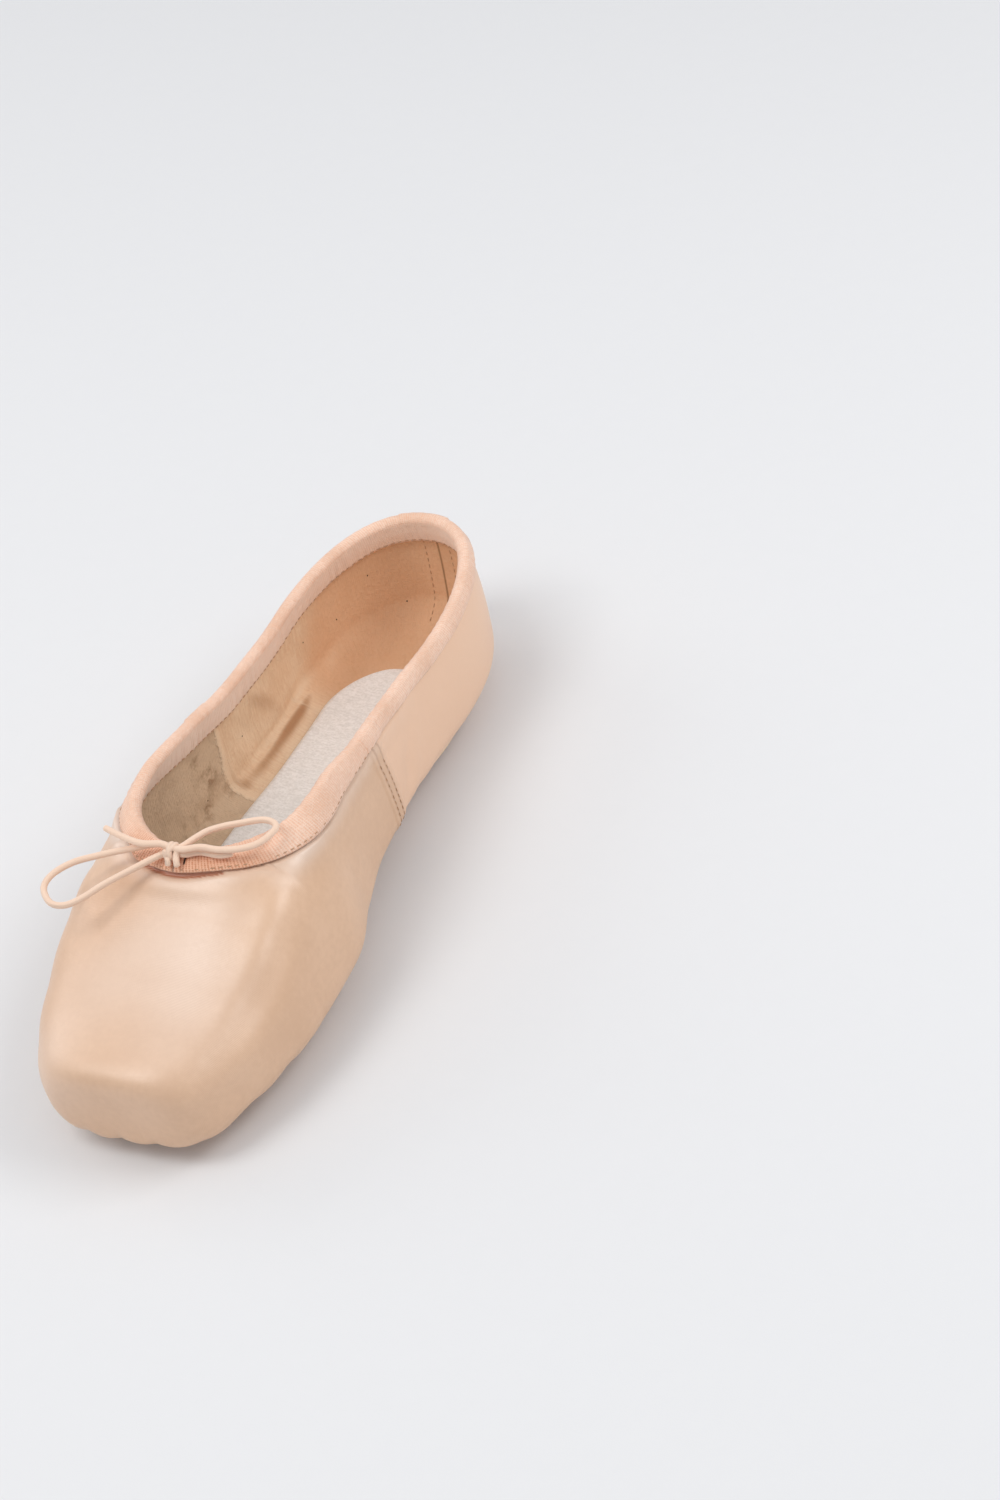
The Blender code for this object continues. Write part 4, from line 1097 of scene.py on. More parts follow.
def make_insole(felt):
    """Build the insole: bottom = inside of the upper + lift, top = bottom + thickness, soft edge."""
    back = HEEL_CENTRE + HEEL_REACH - SIDE_WALL - INSOLE_BACK_MARGIN
    u = end_spaced(INSOLE_FRONT + 1e-5, back - 1e-5, 100, INSOLE_ROUND, INSOLE_ROUND, 24)
    thick = wall(u / HEEL_CENTRE)
    half = section(np.minimum(u, HEEL_CENTRE) / LENGTH)[0] - thick - INSOLE_SIDE_MARGIN
    half = half * round_end(u - INSOLE_FRONT, INSOLE_ROUND) * round_end(back - u, INSOLE_ROUND)
    share = slab_shares()
    x = half[:, None] * share
    inset = np.repeat(thick[:, None], len(share), 1)
    u = np.repeat(u[:, None], len(share), 1)
    bottom = underside(x, u, inset) + INSOLE_LIFT
    to_end = np.minimum(u - INSOLE_FRONT, back - u)
    to_edge = np.minimum(half[:, None] * (1 - np.abs(share)), to_end * 0.6)
    soft = SOFT_EDGE_DROP * np.clip(1 - to_edge / SOFT_EDGE_WIDTH, 0, 1) ** 2
    swell = SWELL_HEIGHT * np.sin(u / 0.007 + x / 0.011) * np.cos(x / 0.009)
    top = bottom + INSOLE_THICKNESS - soft + swell * ramp(to_edge, 0.001, 0.006)
    piece = slab("felt_insole", x, u - LENGTH / 2, top, bottom, felt, {"to_edge": to_edge * 1000})
    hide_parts("insole")


def smooth_route(points, spacing):
    """Evenly spaced points on a Catmull-Rom curve through a route's points, and the run at each."""
    points = np.array(points)
    knots = np.concatenate([[2 * points[0] - points[1]], points, [2 * points[-1] - points[-2]]])
    t = np.linspace(0, 1, 24, endpoint=False)[:, None]
    a, b, c, d = knots[:-3, None], knots[1:-2, None], knots[2:-1, None], knots[3:, None]
    fine = 0.5 * (2 * b + (c - a) * t + (2 * a - 5 * b + 4 * c - d) * t ** 2
                  + (3 * b - a - 3 * c + d) * t ** 3)
    fine = np.concatenate([fine.reshape(-1, 3), points[-1:]])
    run = run_along(fine)
    even = np.linspace(0, run[-1], max(int(round(run[-1] / spacing)), 3) + 1)
    return read_line(even, run, fine), even


def sweep(route, run, radius, lean=(0.0, 0.7, 0.7), drawn_in=0.35):
    """Tube round a route: centre + radius * (cos a * side + sin a * up), drawn in at both ends."""
    forward = unit(np.gradient(route, axis=0))
    side = unit(np.cross(forward, np.array(lean)))
    up = np.cross(side, forward)
    angle = np.linspace(0, 2 * math.pi, CORD_SIDES, endpoint=False)
    ring = np.cos(angle)[None, :, None] * side[:, None] + np.sin(angle)[None, :, None] * up[:, None]
    near = np.minimum(run, run[-1] - run)
    size = radius * (1 - drawn_in * np.clip(1 - near / radius, 0, 1) ** 2)
    size[0] = size[-1] = 0
    points = route[:, None] + ring * size[:, None, None]
    uv = np.stack(np.broadcast_arrays(run[:, None], angle[None] / (2 * math.pi)), -1)
    return points.reshape(-1, 3), tube_quads(len(route), CORD_SIDES), uv.reshape(-1, 2)


def make_knot(cotton):
    """Build the knot's wraps: a helix round the bow's axis, and a hitch over it."""
    a = np.linspace(0, 2 * math.pi * WRAP_TURNS, 60)
    helix = np.stack([-0.0012 + 0.0024 * a / a[-1], 0.0019 * np.cos(a + 2.2), 0.0021 * np.sin(a + 2.2)], -1)
    a = np.linspace(0.2, math.pi * 1.5, 40)
    hitch = np.stack([0.0011 * np.sin(a * 1.3), 0.0021 * np.cos(a), 0.0020 * np.sin(a)], -1)
    points, quads, uvs = [], [], []
    start = 0
    for path, radius in ((helix, WRAP_RADIUS), (hitch, HITCH_RADIUS)):
        route, run = smooth_route(path[::3] + np.array(KNOT_AT), KNOT_STEP)
        tube, faces, uv = sweep(route, run, radius, (1.0, 0.0, 0.0), 0.0)
        points.append(tube)
        quads.append(faces + start)
        uvs.append(uv)
        start += len(tube)
    piece = new_piece("knot_wraps", np.concatenate(points), np.concatenate(quads), [cotton],
                      np.concatenate(uvs))
    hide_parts("knot")
    return piece


def make_strand(name, path, nodes, cotton):
    """Build one strand of the drawstring, from the slit through the knot, round its loop to its end."""
    route, run = smooth_route(path, CORD_STEP)
    points, quads, uv = sweep(route, run, CORD_DIAMETER / 2)
    piece = new_piece(name, points, quads, [cotton], uv)
    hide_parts(*nodes)


class Nodes:
    """A shader node tree with short ways to add to it. Inputs are sockets or plain values."""

    def __init__(self, tree):
        self.tree = tree

    def new(self, kind):
        """Add a node."""
        return self.tree.nodes.new(kind)

    def feed(self, value, socket):
        """Link a socket to an input, or set the input to a number."""
        if isinstance(value, bpy.types.NodeSocket):
            self.tree.links.new(value, socket)
        else:
            socket.default_value = value

    def math(self, operation, *values):
        """Output of a Math node."""
        node = self.new("ShaderNodeMath")
        node.operation = operation
        for value, socket in zip(values, node.inputs):
            self.feed(value, socket)
        return node.outputs[0]

    def times(self, a, b):
        """Product of two values."""
        return self.math("MULTIPLY", a, b)

    def times_plus(self, a, b, c):
        """Product of two values, plus a third."""
        return self.math("MULTIPLY_ADD", a, b, c)

    def apart(self, a, b):
        """Distance between two values."""
        return self.math("ABSOLUTE", self.math("SUBTRACT", a, b))

    def noise(self, vector, scale, detail=3.0, roughness=0.5):
        """Value of a noise texture on a vector."""
        node = self.new("ShaderNodeTexNoise")
        node.inputs["Detail"].default_value = detail
        node.inputs["Roughness"].default_value = roughness
        self.feed(scale, node.inputs["Scale"])
        self.feed(vector, node.inputs["Vector"])
        return node.outputs[0]

    def mix(self, factor, a, b):
        """Mix of two colours."""
        node = self.new("ShaderNodeMix")
        node.data_type = "RGBA"
        self.feed(factor, node.inputs[0])
        for colour, socket in ((a, node.inputs[6]), (b, node.inputs[7])):
            self.feed(colour if isinstance(colour, bpy.types.NodeSocket) else (*colour[:3], 1.0), socket)
        return node.outputs[2]

    def fade(self, value, low, high):
        """A value mapped smoothly to 0 at low and 1 at high."""
        node = self.new("ShaderNodeMapRange")
        node.interpolation_type = "SMOOTHSTEP"
        node.inputs["From Min"].default_value = low
        node.inputs["From Max"].default_value = high
        self.feed(value, node.inputs["Value"])
        return node.outputs[0]

    def axes(self, vector):
        """The three parts of a vector."""
        node = self.new("ShaderNodeSeparateXYZ")
        self.feed(vector, node.inputs[0])
        return node.outputs[0], node.outputs[1], node.outputs[2]


class Effect(Nodes):
    """A shared node group: a vector and named numbers in, named values out."""

    def __init__(self, name, numbers, outputs):
        self.group = bpy.data.node_groups.new(name, "ShaderNodeTree")
        super().__init__(self.group)
        self.group.interface.new_socket("Vector", in_out="INPUT", socket_type="NodeSocketVector")
        for label, value in numbers.items():
            socket = self.group.interface.new_socket(label, in_out="INPUT", socket_type="NodeSocketFloat")
            socket.default_value = value
        for label in outputs:
            self.group.interface.new_socket(label, in_out="OUTPUT", socket_type="NodeSocketFloat")
        self.given = self.new("NodeGroupInput").outputs
        self.result = self.new("NodeGroupOutput").inputs


def weave_group():
    """Threads crossing at right angles on a UV map in metres: two sines, broken up by noise."""
    weave = Effect("Cloth Weave", {"Along Pitch": 2000.0, "Across Pitch": 2000.0, "Slant": 0.0},
                   ("Height", "Slub"))
    along, across, _ = weave.axes(weave.given["Vector"])
    leaning = weave.times_plus(across, weave.given["Slant"], along)
    first = weave.math("SINE", weave.times(leaning, weave.given["Along Pitch"]))
    second = weave.math("SINE", weave.times(across, weave.given["Across Pitch"]))
    slub = weave.noise(weave.given["Vector"], 900.0, 2.0)
    both = weave.times_plus(second, 0.5, first)
    weave.feed(weave.times_plus(both, 0.25, slub), weave.result["Height"])
    weave.feed(slub, weave.result["Slub"])
    return weave.group


def mottle_group():
    """Slow colour changes of dyed cloth: two noises on object coordinates, centred on 0.5."""
    mottle = Effect("Dye Mottle", {"Coarse": 45.0, "Fine": 700.0}, ("Value",))
    coarse = mottle.noise(mottle.given["Vector"], mottle.given["Coarse"], 3.0)
    fine = mottle.noise(mottle.given["Vector"], mottle.given["Fine"], 2.0)
    mottle.feed(mottle.times_plus(fine, 0.35, mottle.times(coarse, 0.65)), mottle.result["Value"])
    return mottle.group


def streak_group():
    """Brushed threads of canvas: noise drawn out along one direction of the UV map."""
    streaks = Effect("Canvas Streaks", {"Fine": 900.0, "Long": 90.0}, ("Value",))
    along, across, _ = streaks.axes(streaks.given["Vector"])
    join = streaks.new("ShaderNodeCombineXYZ")
    streaks.feed(streaks.times(along, streaks.given["Fine"]), join.inputs[0])
    streaks.feed(streaks.times(across, streaks.given["Long"]), join.inputs[1])
    streaks.feed(streaks.noise(join.outputs[0], 1.0, 3.0, 0.6), streaks.result["Value"])
    return streaks.group


def nap_group():
    """Short fibres of felt and suede: stretched noise over a fine one."""
    nap = Effect("Fibre Nap", {"Scale": 1200.0}, ("Height",))
    turn = nap.new("ShaderNodeMapping")
    turn.inputs["Rotation"].default_value = (0.0, 0.0, 0.7)
    turn.inputs["Scale"].default_value = (0.25, 1.0, 1.0)
    nap.feed(nap.given["Vector"], turn.inputs["Vector"])
    hairs = nap.noise(turn.outputs[0], nap.given["Scale"], 4.0, 0.7)
    grains = nap.noise(nap.given["Vector"], nap.given["Scale"], 2.0)
    nap.feed(nap.times_plus(hairs, 0.6, nap.times(grains, 0.4)), nap.result["Height"])
    return nap.group


class Cloth(Nodes):
    """A material under construction: its shader and the coordinates that its patterns read."""

    def __init__(self, name, roughness, specular=0.4):
        self.material = bpy.data.materials.new(name)
        self.material.use_nodes = True
        super().__init__(self.material.node_tree)
        self.shader = self.tree.nodes["Principled BSDF"]
        self.set_shader(Roughness=roughness, Specular_IOR_Level=specular)
        self.place = self.new("ShaderNodeTexCoord").outputs["Object"]
        self.uv = self.new("ShaderNodeUVMap").outputs[0]

    def set_shader(self, **values):
        """Set sockets of the shader, with _ for a space in their names."""
        for label, value in values.items():
            self.shader.inputs[label.replace("_", " ")].default_value = value

    def attribute(self, name):
        """Value of a named attribute of the mesh."""
        node = self.new("ShaderNodeAttribute")
        node.attribute_name = name
        return node.outputs["Fac"]

    def effect(self, group, vector, **values):
        """Place a shared effect, set its numbers and return its outputs."""
        node = self.new("ShaderNodeGroup")
        node.node_tree = group
        self.feed(vector, node.inputs["Vector"])
        for label, value in values.items():
            node.inputs[label.replace("_", " ")].default_value = value
        return node.outputs

    def two_tone(self, dye, shade, light):
        """Two tones mixed over the middle of a dye's range."""
        return self.mix(self.fade(dye, 0.35, 0.65), shade, light)

    def colour(self, socket):
        """Feed the base colour."""
        self.feed(socket, self.shader.inputs["Base Color"])

    def rough(self, socket, low, high):
        """Feed the roughness with a value mapped from 0 and 1 to low and high."""
        self.feed(self.times_plus(socket, high - low, low), self.shader.inputs["Roughness"])

    def bump(self, heights):
        """Chain bump nodes of (height, strength, distance) into the normal."""
        normal = None
        for height, strength, distance in heights:
            node = self.new("ShaderNodeBump")
            node.inputs["Strength"].default_value = strength
            node.inputs["Distance"].default_value = distance
            self.feed(height, node.inputs["Height"])
            if normal is not None:
                self.feed(normal, node.inputs["Normal"])
            normal = node.outputs[0]
        self.feed(normal, self.shader.inputs["Normal"])


def satin_material(look, weave, mottle):
    """Peach satin: soft two-tone dye, fine weft ribs, sheen and a broad gloss, with painted highlights,
    painted light behind the side seam, and painted shade in its seams and in the gap under the tape.
    """
    cloth = Cloth("peach satin", 0.32, 1.0)
    x, y, _ = cloth.axes(cloth.place)
    dye = cloth.effect(mottle, cloth.place, Coarse=38.0, Fine=500.0)[0]
    threads = cloth.effect(weave, cloth.uv, Along_Pitch=14000.0, Across_Pitch=9000.0)
    base = cloth.two_tone(dye, look.satin_shade, look.satin_light)
    # Painted highlight: the satin just below the tape is made paler, standing in for the light on its lip.
    painted_lip_highlight = cloth.times(cloth.fade(cloth.attribute("below_tape"), 0.006, 0.0005), 0.4)
    base = cloth.mix(painted_lip_highlight, base, look.satin_painted_highlight)
    # Painted highlight: paler, pinker satin on the listed highlight places.
    base = cloth.mix(cloth.attribute("shine"), base, look.satin_painted_highlight)
    # Painted light: the satin behind the side seam is made brighter, standing in for the light that falls on
    # the quarter.
    behind = cloth.times(cloth.fade(y, SEAM_Y, SEAM_Y + 0.004), 0.8)
    base = cloth.mix(behind, base, look.satin_quarter_painted_light)
    seam = cloth.fade(cloth.apart(cloth.apart(y, SEAM_Y), SEAM_ROW), 0.0008, 0.0001)
    beside = cloth.apart(cloth.math("ABSOLUTE", x), STRIP_WIDTH / 2 + 0.0003)
    strip = cloth.times(cloth.fade(beside, 0.0006, 0.0), cloth.fade(y, 0.085, 0.09))
    lines = cloth.times(cloth.math("ADD", seam, strip), 0.45)
    base = cloth.mix(lines, base, look.seam_shade)
    cloth.colour(cloth.mix(cloth.attribute("tape_gap"), base, look.gap_shade))
    cloth.rough(threads["Slub"], 0.32, 0.48)
    cloth.bump([(threads["Height"], 0.4, 0.00006), (seam, 0.5, 0.0002)])
    cloth.set_shader(Sheen_Weight=0.06, Sheen_Roughness=0.35, Sheen_Tint=(1.0, 0.93, 0.86, 1.0),
                     Coat_Weight=0.25, Coat_Roughness=0.42)
    return cloth.material


def lining_material(look, weave, mottle, streaks):
    """Lining: greyish vamp drill with glue stains, cream canvas quarters and a tan heel lining, with painted
    shade along its folds and painted light on their ridges.
    """
    cloth = Cloth("lining cloth", 0.85, 0.2)
    x, y, z = cloth.axes(cloth.place)
    dye = cloth.effect(mottle, cloth.place, Coarse=60.0, Fine=900.0)[0]
    soft = cloth.times_plus(dye, 0.006, y)
    seam_place = cloth.times_plus(z, -0.03, soft)
    vamp = cloth.fade(seam_place, 0.0185, 0.0175)
    heel = cloth.fade(cloth.times_plus(z, -0.55, soft), 0.058, 0.074)
    drawn = cloth.effect(streaks, cloth.uv, Fine=1500.0, Long=140.0)[0]
    drawn = cloth.fade(cloth.times_plus(dye, 0.7, cloth.times(drawn, 0.5)), 0.38, 0.82)
    canvas = cloth.mix(drawn, look.canvas_shade, look.canvas_light)
    tan = cloth.mix(dye, look.heel_lining_shade, look.heel_lining_light)
    drill = cloth.mix(dye, look.vamp_lining_shade, look.vamp_lining_light)
    blots = cloth.fade(cloth.noise(cloth.place, 160.0, 4.0, 0.65), 0.42, 0.66)
    stain = cloth.times_plus(blots, 0.16, cloth.times(cloth.attribute("stain"), blots))
    drill = cloth.mix(stain, drill, look.glue_stain)
    tan = cloth.mix(cloth.times(drawn, 0.3), tan, look.heel_lining_light)
    back = cloth.fade(cloth.apart(x, 0.0028), 0.0006, 0.0001)
    back = cloth.times(back, cloth.fade(y, 0.085, 0.095))
    tan = cloth.mix(cloth.times(back, 0.75), tan, look.glue_stain)
    colour = cloth.mix(heel, canvas, tan)
    colour = cloth.mix(vamp, colour, drill)
    fold = cloth.attribute("lining_fold")
    # Painted shade along the lining's folds, and painted light on their ridges.
    colour = cloth.mix(cloth.times(cloth.fade(fold, 0.15, 1.0), 0.92), colour, look.fold_shade)
    colour = cloth.mix(cloth.times(cloth.fade(fold, -0.2, -1.1), 0.5), colour, look.canvas_light)
    line = cloth.times(cloth.fade(seam_place, 0.0168, 0.0178), cloth.fade(seam_place, 0.0200, 0.0186))
    cloth.colour(cloth.mix(cloth.times(line, 0.7), colour, look.canvas_light))
    threads = cloth.effect(weave, cloth.uv, Along_Pitch=9000.0, Across_Pitch=7000.0)
    cloth.bump([(threads["Height"], 0.5, 0.00012), (drawn, 0.35, 0.0003), (dye, 0.5, 0.0012),
                (line, 0.5, 0.0006)])
    cloth.rough(threads["Slub"], 0.78, 0.95)
    return cloth.material


def tape_material(look, weave, mottle):
    """Casing tape: fine ribs across the tape, with painted shade in the ribs' dips and where it faces the
    toe, and painted light on its inner leg.
    """
    cloth = Cloth("ribbed casing tape", 0.62, 0.3)
    y = cloth.axes(cloth.place)[1]
    dye = cloth.effect(mottle, cloth.place, Coarse=70.0, Fine=1100.0)[0]
    ribs = cloth.effect(weave, cloth.uv, Along_Pitch=7800.0, Across_Pitch=9500.0, Slant=0.12)
    dips = cloth.fade(ribs["Height"], 0.55, 0.25)
    base = cloth.two_tone(dye, look.tape_shade, look.tape_light)
    # Painted shade in the dips between the ribs.
    base = cloth.mix(cloth.times(dips, 0.5), base, look.tape_front_shade)
    # Painted shade where the tape faces the toe, deeper still in its rib dips there.
    front = cloth.fade(y, -0.041, -0.052)
    # Painted light: the tape's inner leg is made paler, standing in for the light on it.
    base = cloth.mix(cloth.times(cloth.attribute("inner"), 0.6), base, look.tape_inside_painted_light)
    colour = cloth.mix(cloth.times(front, 0.6), base, look.tape_front_shade)
    deep = cloth.times(cloth.times(front, dips), 0.55)
    cloth.colour(cloth.mix(deep, colour, look.gap_shade))
    cloth.rough(ribs["Slub"], 0.50, 0.72)
    cloth.bump([(ribs["Height"], 0.8, 0.00022), (dye, 0.25, 0.0004)])
    cloth.set_shader(Sheen_Weight=0.3, Sheen_Roughness=0.45)
    return cloth.material


def cotton_material(look, mottle):
    """Drawstring: a round braid, two families of strands winding opposite ways."""
    cloth = Cloth("braided cotton cord", 0.6, 0.3)
    run, turn, _ = cloth.axes(cloth.uv)
    along = cloth.times(run, 5200.0)
    around = cloth.times(turn, 8 * math.pi)
    right = cloth.math("ABSOLUTE", cloth.math("SINE", cloth.math("ADD", along, around)))
    left = cloth.math("ABSOLUTE", cloth.math("SINE", cloth.math("SUBTRACT", along, around)))
    braid = cloth.math("MAXIMUM", right, left)
    dye = cloth.effect(mottle, cloth.place, Coarse=120.0, Fine=1500.0)[0]
    base = cloth.mix(dye, look.cord_shade, look.cord_light)
    cloth.colour(cloth.mix(cloth.times(cloth.fade(braid, 0.75, 0.3), 0.5), base, look.cord_shade))
    cloth.rough(braid, 0.70, 0.5)
    cloth.bump([(braid, 0.5, 0.00016), (dye, 0.2, 0.0003)])
    cloth.set_shader(Sheen_Weight=0.4)
    return cloth.material


def leather_material(look, mottle, nap):
    """Sole leather: warm tan with a fine grain, darker towards its edge, and dull scuffs where it rests."""
    cloth = Cloth("tan sole leather", 0.55, 0.4)
    z = cloth.axes(cloth.place)[2]
    dye = cloth.effect(mottle, cloth.place, Coarse=55.0, Fine=600.0)[0]
    grain = cloth.effect(nap, cloth.place, Scale=1500.0)[0]
    base = cloth.two_tone(dye, look.leather_shade, look.leather_light)
    patches = cloth.fade(cloth.noise(cloth.place, 90.0, 5.0, 0.7), 0.45, 0.62)
    scuff = cloth.times(cloth.fade(z, 0.0005, 0.0), patches)
    base = cloth.mix(cloth.times(scuff, 0.35), base, look.leather_light)
    edge = cloth.fade(cloth.times_plus(dye, 0.4, cloth.attribute("to_edge")), 0.75, 0.25)
    cloth.colour(cloth.mix(edge, base, look.leather_edge))
    cloth.rough(grain, 0.45, 0.75)
    cloth.bump([(grain, 0.35, 0.00015), (dye, 0.25, 0.0006)])
    return cloth.material


def felt_material(look, mottle, nap):
    """Insole felt: light grey, with short fibres and slow patches."""
    cloth = Cloth("grey insole felt", 0.95, 0.1)
    dye = cloth.effect(mottle, cloth.place, Coarse=80.0, Fine=900.0)[0]
    fibres = cloth.effect(nap, cloth.place, Scale=1300.0)[0]
    base = cloth.mix(cloth.fade(fibres, 0.38, 0.64), look.felt_shade, look.felt_light)
    cloth.colour(cloth.mix(cloth.times(dye, 0.3), base, look.felt_light))
    cloth.bump([(fibres, 0.6, 0.0003), (dye, 0.3, 0.0008)])
    cloth.rough(fibres, 0.85, 1.0)
    cloth.set_shader(Sheen_Weight=0.2)
    return cloth.material


def plain_material(name, colour, roughness, mottle, change=0.15):
    """Thread, pits and floor: one colour with a faint mottle and grain."""
    cloth = Cloth(name, roughness, 0.3)
    dye = cloth.effect(mottle, cloth.place, Coarse=140.0, Fine=2500.0)[0]
    deeper = [value * (1 - change) for value in colour[:3]]
    cloth.colour(cloth.mix(dye, deeper, colour))
    cloth.bump([(dye, 0.2, 0.0002)])
    return cloth.material


def colour_setting(name, text, value):
    """A colour that the user can change, in linear light."""
    return bpy.props.FloatVectorProperty(name=name, description=text, subtype="COLOR", size=3,
                                         min=0.0, max=1.0, default=value)


def size_setting(name, text, value):
    """A small length that the user can change, in metres."""
    return bpy.props.FloatProperty(name=name, description=text, default=value, subtype="DISTANCE",
                                   precision=5)


class ShoeLook(bpy.types.PropertyGroup):
    """Sizes of the shoe's finish and colours of its cloths and leather."""

    upper_rows: bpy.props.IntProperty(
        name="Upper Rows", description="Rows of points along the upper", default=240, min=40, max=320)
    upper_columns: bpy.props.IntProperty(
        name="Upper Columns", description="Points round each half of the upper", default=84, min=20, max=120)
    crease_scale: bpy.props.FloatProperty(
        name="Creases", description="Depth of the creases against their table", default=1.0, min=0.0, max=2.0)
    wave_height: size_setting("Waves", "Height of the satin's soft waves", 0.00007)
    welt_height: size_setting("Welt", "Height of the satin ridge below the tape", 0.0010)
    pleat_height: size_setting("Pleats", "Height of the pleats round the sole", 0.0010)
    stitch_length: size_setting("Stitch", "Length of one stitch", 0.0016)
    stitch_gap: size_setting("Stitch Gap", "Gap between stitches", 0.0008)
    satin_light: colour_setting("Satin", "Peach satin in the light", (0.76, 0.48, 0.30))
    satin_shade: colour_setting("Satin Shade", "Deeper tone of the satin", (0.70, 0.43, 0.26))
    # Painted highlight colour of the satin, on its highlight places and on the lip below the tape.
    satin_painted_highlight: colour_setting("Satin Shine", "Pale pinkish satin where it shines most", (0.80, 0.62, 0.51))
    # Painted light: brighter satin behind the side seam, for the light on the quarter.
    satin_quarter_painted_light: colour_setting("Satin Quarter", "Brighter satin behind the side seam", (0.89, 0.57, 0.38))
    seam_shade: colour_setting("Seam Shade", "Shade in the satin's seams and stitch rows", (0.42, 0.22, 0.12))
    gap_shade: colour_setting("Gap Shade", "Deep tone of the gap under the tape", (0.50, 0.17, 0.08))
    tape_light: colour_setting("Tape", "Casing tape in the light", (0.97, 0.69, 0.54))
    tape_shade: colour_setting("Tape Shade", "Deeper tone of the tape", (0.85, 0.56, 0.41))
    # Painted light on the tape's inner leg.
    tape_inside_painted_light: colour_setting("Tape Inside", "Paler inner leg of the tape", (0.99, 0.78, 0.64))
    # Painted shade of the tape where it faces the toe and in its rib dips.
    tape_front_shade: colour_setting("Tape Front", "Tape where it faces the toe", (0.86, 0.43, 0.25))
    cord_light: colour_setting("Cord", "Cotton drawstring", (0.97, 0.75, 0.59))
    cord_shade: colour_setting("Cord Shade", "Deeper tone between the cord's strands", (0.88, 0.60, 0.44))
    vamp_lining_light: colour_setting("Vamp Lining", "Greyish drill in the vamp", (0.76, 0.57, 0.40))
    vamp_lining_shade: colour_setting("Vamp Lining Shade", "Its deeper tone", (0.63, 0.46, 0.31))
    # Painted shade in the lining's folds.
    fold_shade: colour_setting("Fold Shade", "Worn brown in the folds of the lining", (0.46, 0.24, 0.12))
    glue_stain: colour_setting("Glue Stain", "Brown stain of glue in the vamp", (0.26, 0.14, 0.07))
    canvas_light: colour_setting("Canvas", "Cream canvas of the quarters", (0.90, 0.69, 0.49))
    canvas_shade: colour_setting("Canvas Shade", "Its deeper tone", (0.78, 0.53, 0.34))
    heel_lining_light: colour_setting("Heel Lining", "Tan lining of the heel", (0.85, 0.56, 0.36))
    heel_lining_shade: colour_setting("Heel Lining Shade", "Its deeper tone", (0.70, 0.40, 0.22))
    felt_light: colour_setting("Felt", "Insole felt", (0.98, 0.95, 0.92))
    felt_shade: colour_setting("Felt Shade", "Deeper tone between its fibres", (0.79, 0.76, 0.72))
    leather_light: colour_setting("Sole Leather", "Tan leather of the sole", (0.47, 0.24, 0.14))
    leather_shade: colour_setting("Sole Leather Shade", "Its deeper tone", (0.36, 0.17, 0.09))
    # The sole's darker colour towards its edge.
    leather_edge: colour_setting("Sole Edge", "Dark waxed edge of the sole", (0.09, 0.035, 0.016))
    # Real thread, made darker than the satin as painted shade for its needle holes.
    thread: colour_setting("Thread", "Sewing thread in its needle holes", (0.56, 0.33, 0.20))


class ShoeStage(bpy.types.PropertyGroup):
    """Camera, floor and lights."""

    camera_place: bpy.props.FloatVectorProperty(
        name="Camera", description="Place of the camera, as in the photo", subtype="TRANSLATION",
        default=(0.5002, -0.6083, 0.6798))
    azimuth: bpy.props.FloatProperty(
        name="Azimuth", description="Turn of the view round the shoe, in degrees", default=34.513)
    elevation: bpy.props.FloatProperty(
        name="Elevation", description="Height of the view over the floor, in degrees", default=39.925)
    roll: bpy.props.FloatProperty(
        name="Roll", description="Roll of the camera, in degrees", default=-17.268)
    lens: bpy.props.FloatProperty(
        name="Lens", description="Focal length for a 36 mm long side, in mm", default=80.68)
    key_power: bpy.props.FloatProperty(
        name="Key Light", description="Power of the key light", default=5.7, subtype="POWER")
    fill_power: bpy.props.FloatProperty(
        name="Fill Light", description="Power of the fill light", default=3.6, subtype="POWER")
    sky: bpy.props.FloatProperty(
        name="Sky", description="Strength of the even white light all round", default=0.60)
    floor: colour_setting("Floor", "Pale floor", (0.80, 0.80, 0.81))


def shared_group(name, maker):
    """Return a shared effect, made once."""
    return bpy.data.node_groups.get(name) or maker()


def groups():
    """The shared effects: weave, mottle, nap and streaks."""
    return (shared_group("Cloth Weave", weave_group), shared_group("Dye Mottle", mottle_group),
            shared_group("Fibre Nap", nap_group), shared_group("Canvas Streaks", streak_group))


class SHOE_OT_upper(bpy.types.Operator):
    """Make the satin upper with its lining"""

    bl_idname = "shoe.upper"
    bl_label = "Upper"

    def execute(self, context):
        look = context.scene.shoe_look
        weave, mottle, _, streaks = groups()
        make_upper(look, satin_material(look, weave, mottle),
                   lining_material(look, weave, mottle, streaks))
        return {"FINISHED"}


class SHOE_OT_casing(bpy.types.Operator):
    """Make the folded casing tape round the collar"""

    bl_idname = "shoe.casing"
    bl_label = "Casing Tape"

    def execute(self, context):
        look = context.scene.shoe_look
        weave, mottle = groups()[:2]
        make_casing(tape_material(look, weave, mottle))
        return {"FINISHED"}


class SHOE_OT_sole(bpy.types.Operator):
    """Make the leather outsole and the felt insole"""

    bl_idname = "shoe.sole"
    bl_label = "Outsole and Insole"

    def execute(self, context):
        look = context.scene.shoe_look
        _, mottle, nap, _ = groups()
        make_outsole(leather_material(look, mottle, nap))
        make_insole(felt_material(look, mottle, nap))
        return {"FINISHED"}


class SHOE_OT_drawstring(bpy.types.Operator):
    """Make the drawstring's two strands and their knot"""

    bl_idname = "shoe.drawstring"
    bl_label = "Drawstring"

    def execute(self, context):
        look = context.scene.shoe_look
        cotton = cotton_material(look, groups()[1])
        knot = make_knot(cotton)
        make_strand("strand_left", STRAND_LEFT, ("loop_left", "end_right", "lead_left"), cotton)
        make_strand("strand_right", STRAND_RIGHT, ("loop_right", "end_left", "lead_right"), cotton)
        return {"FINISHED"}


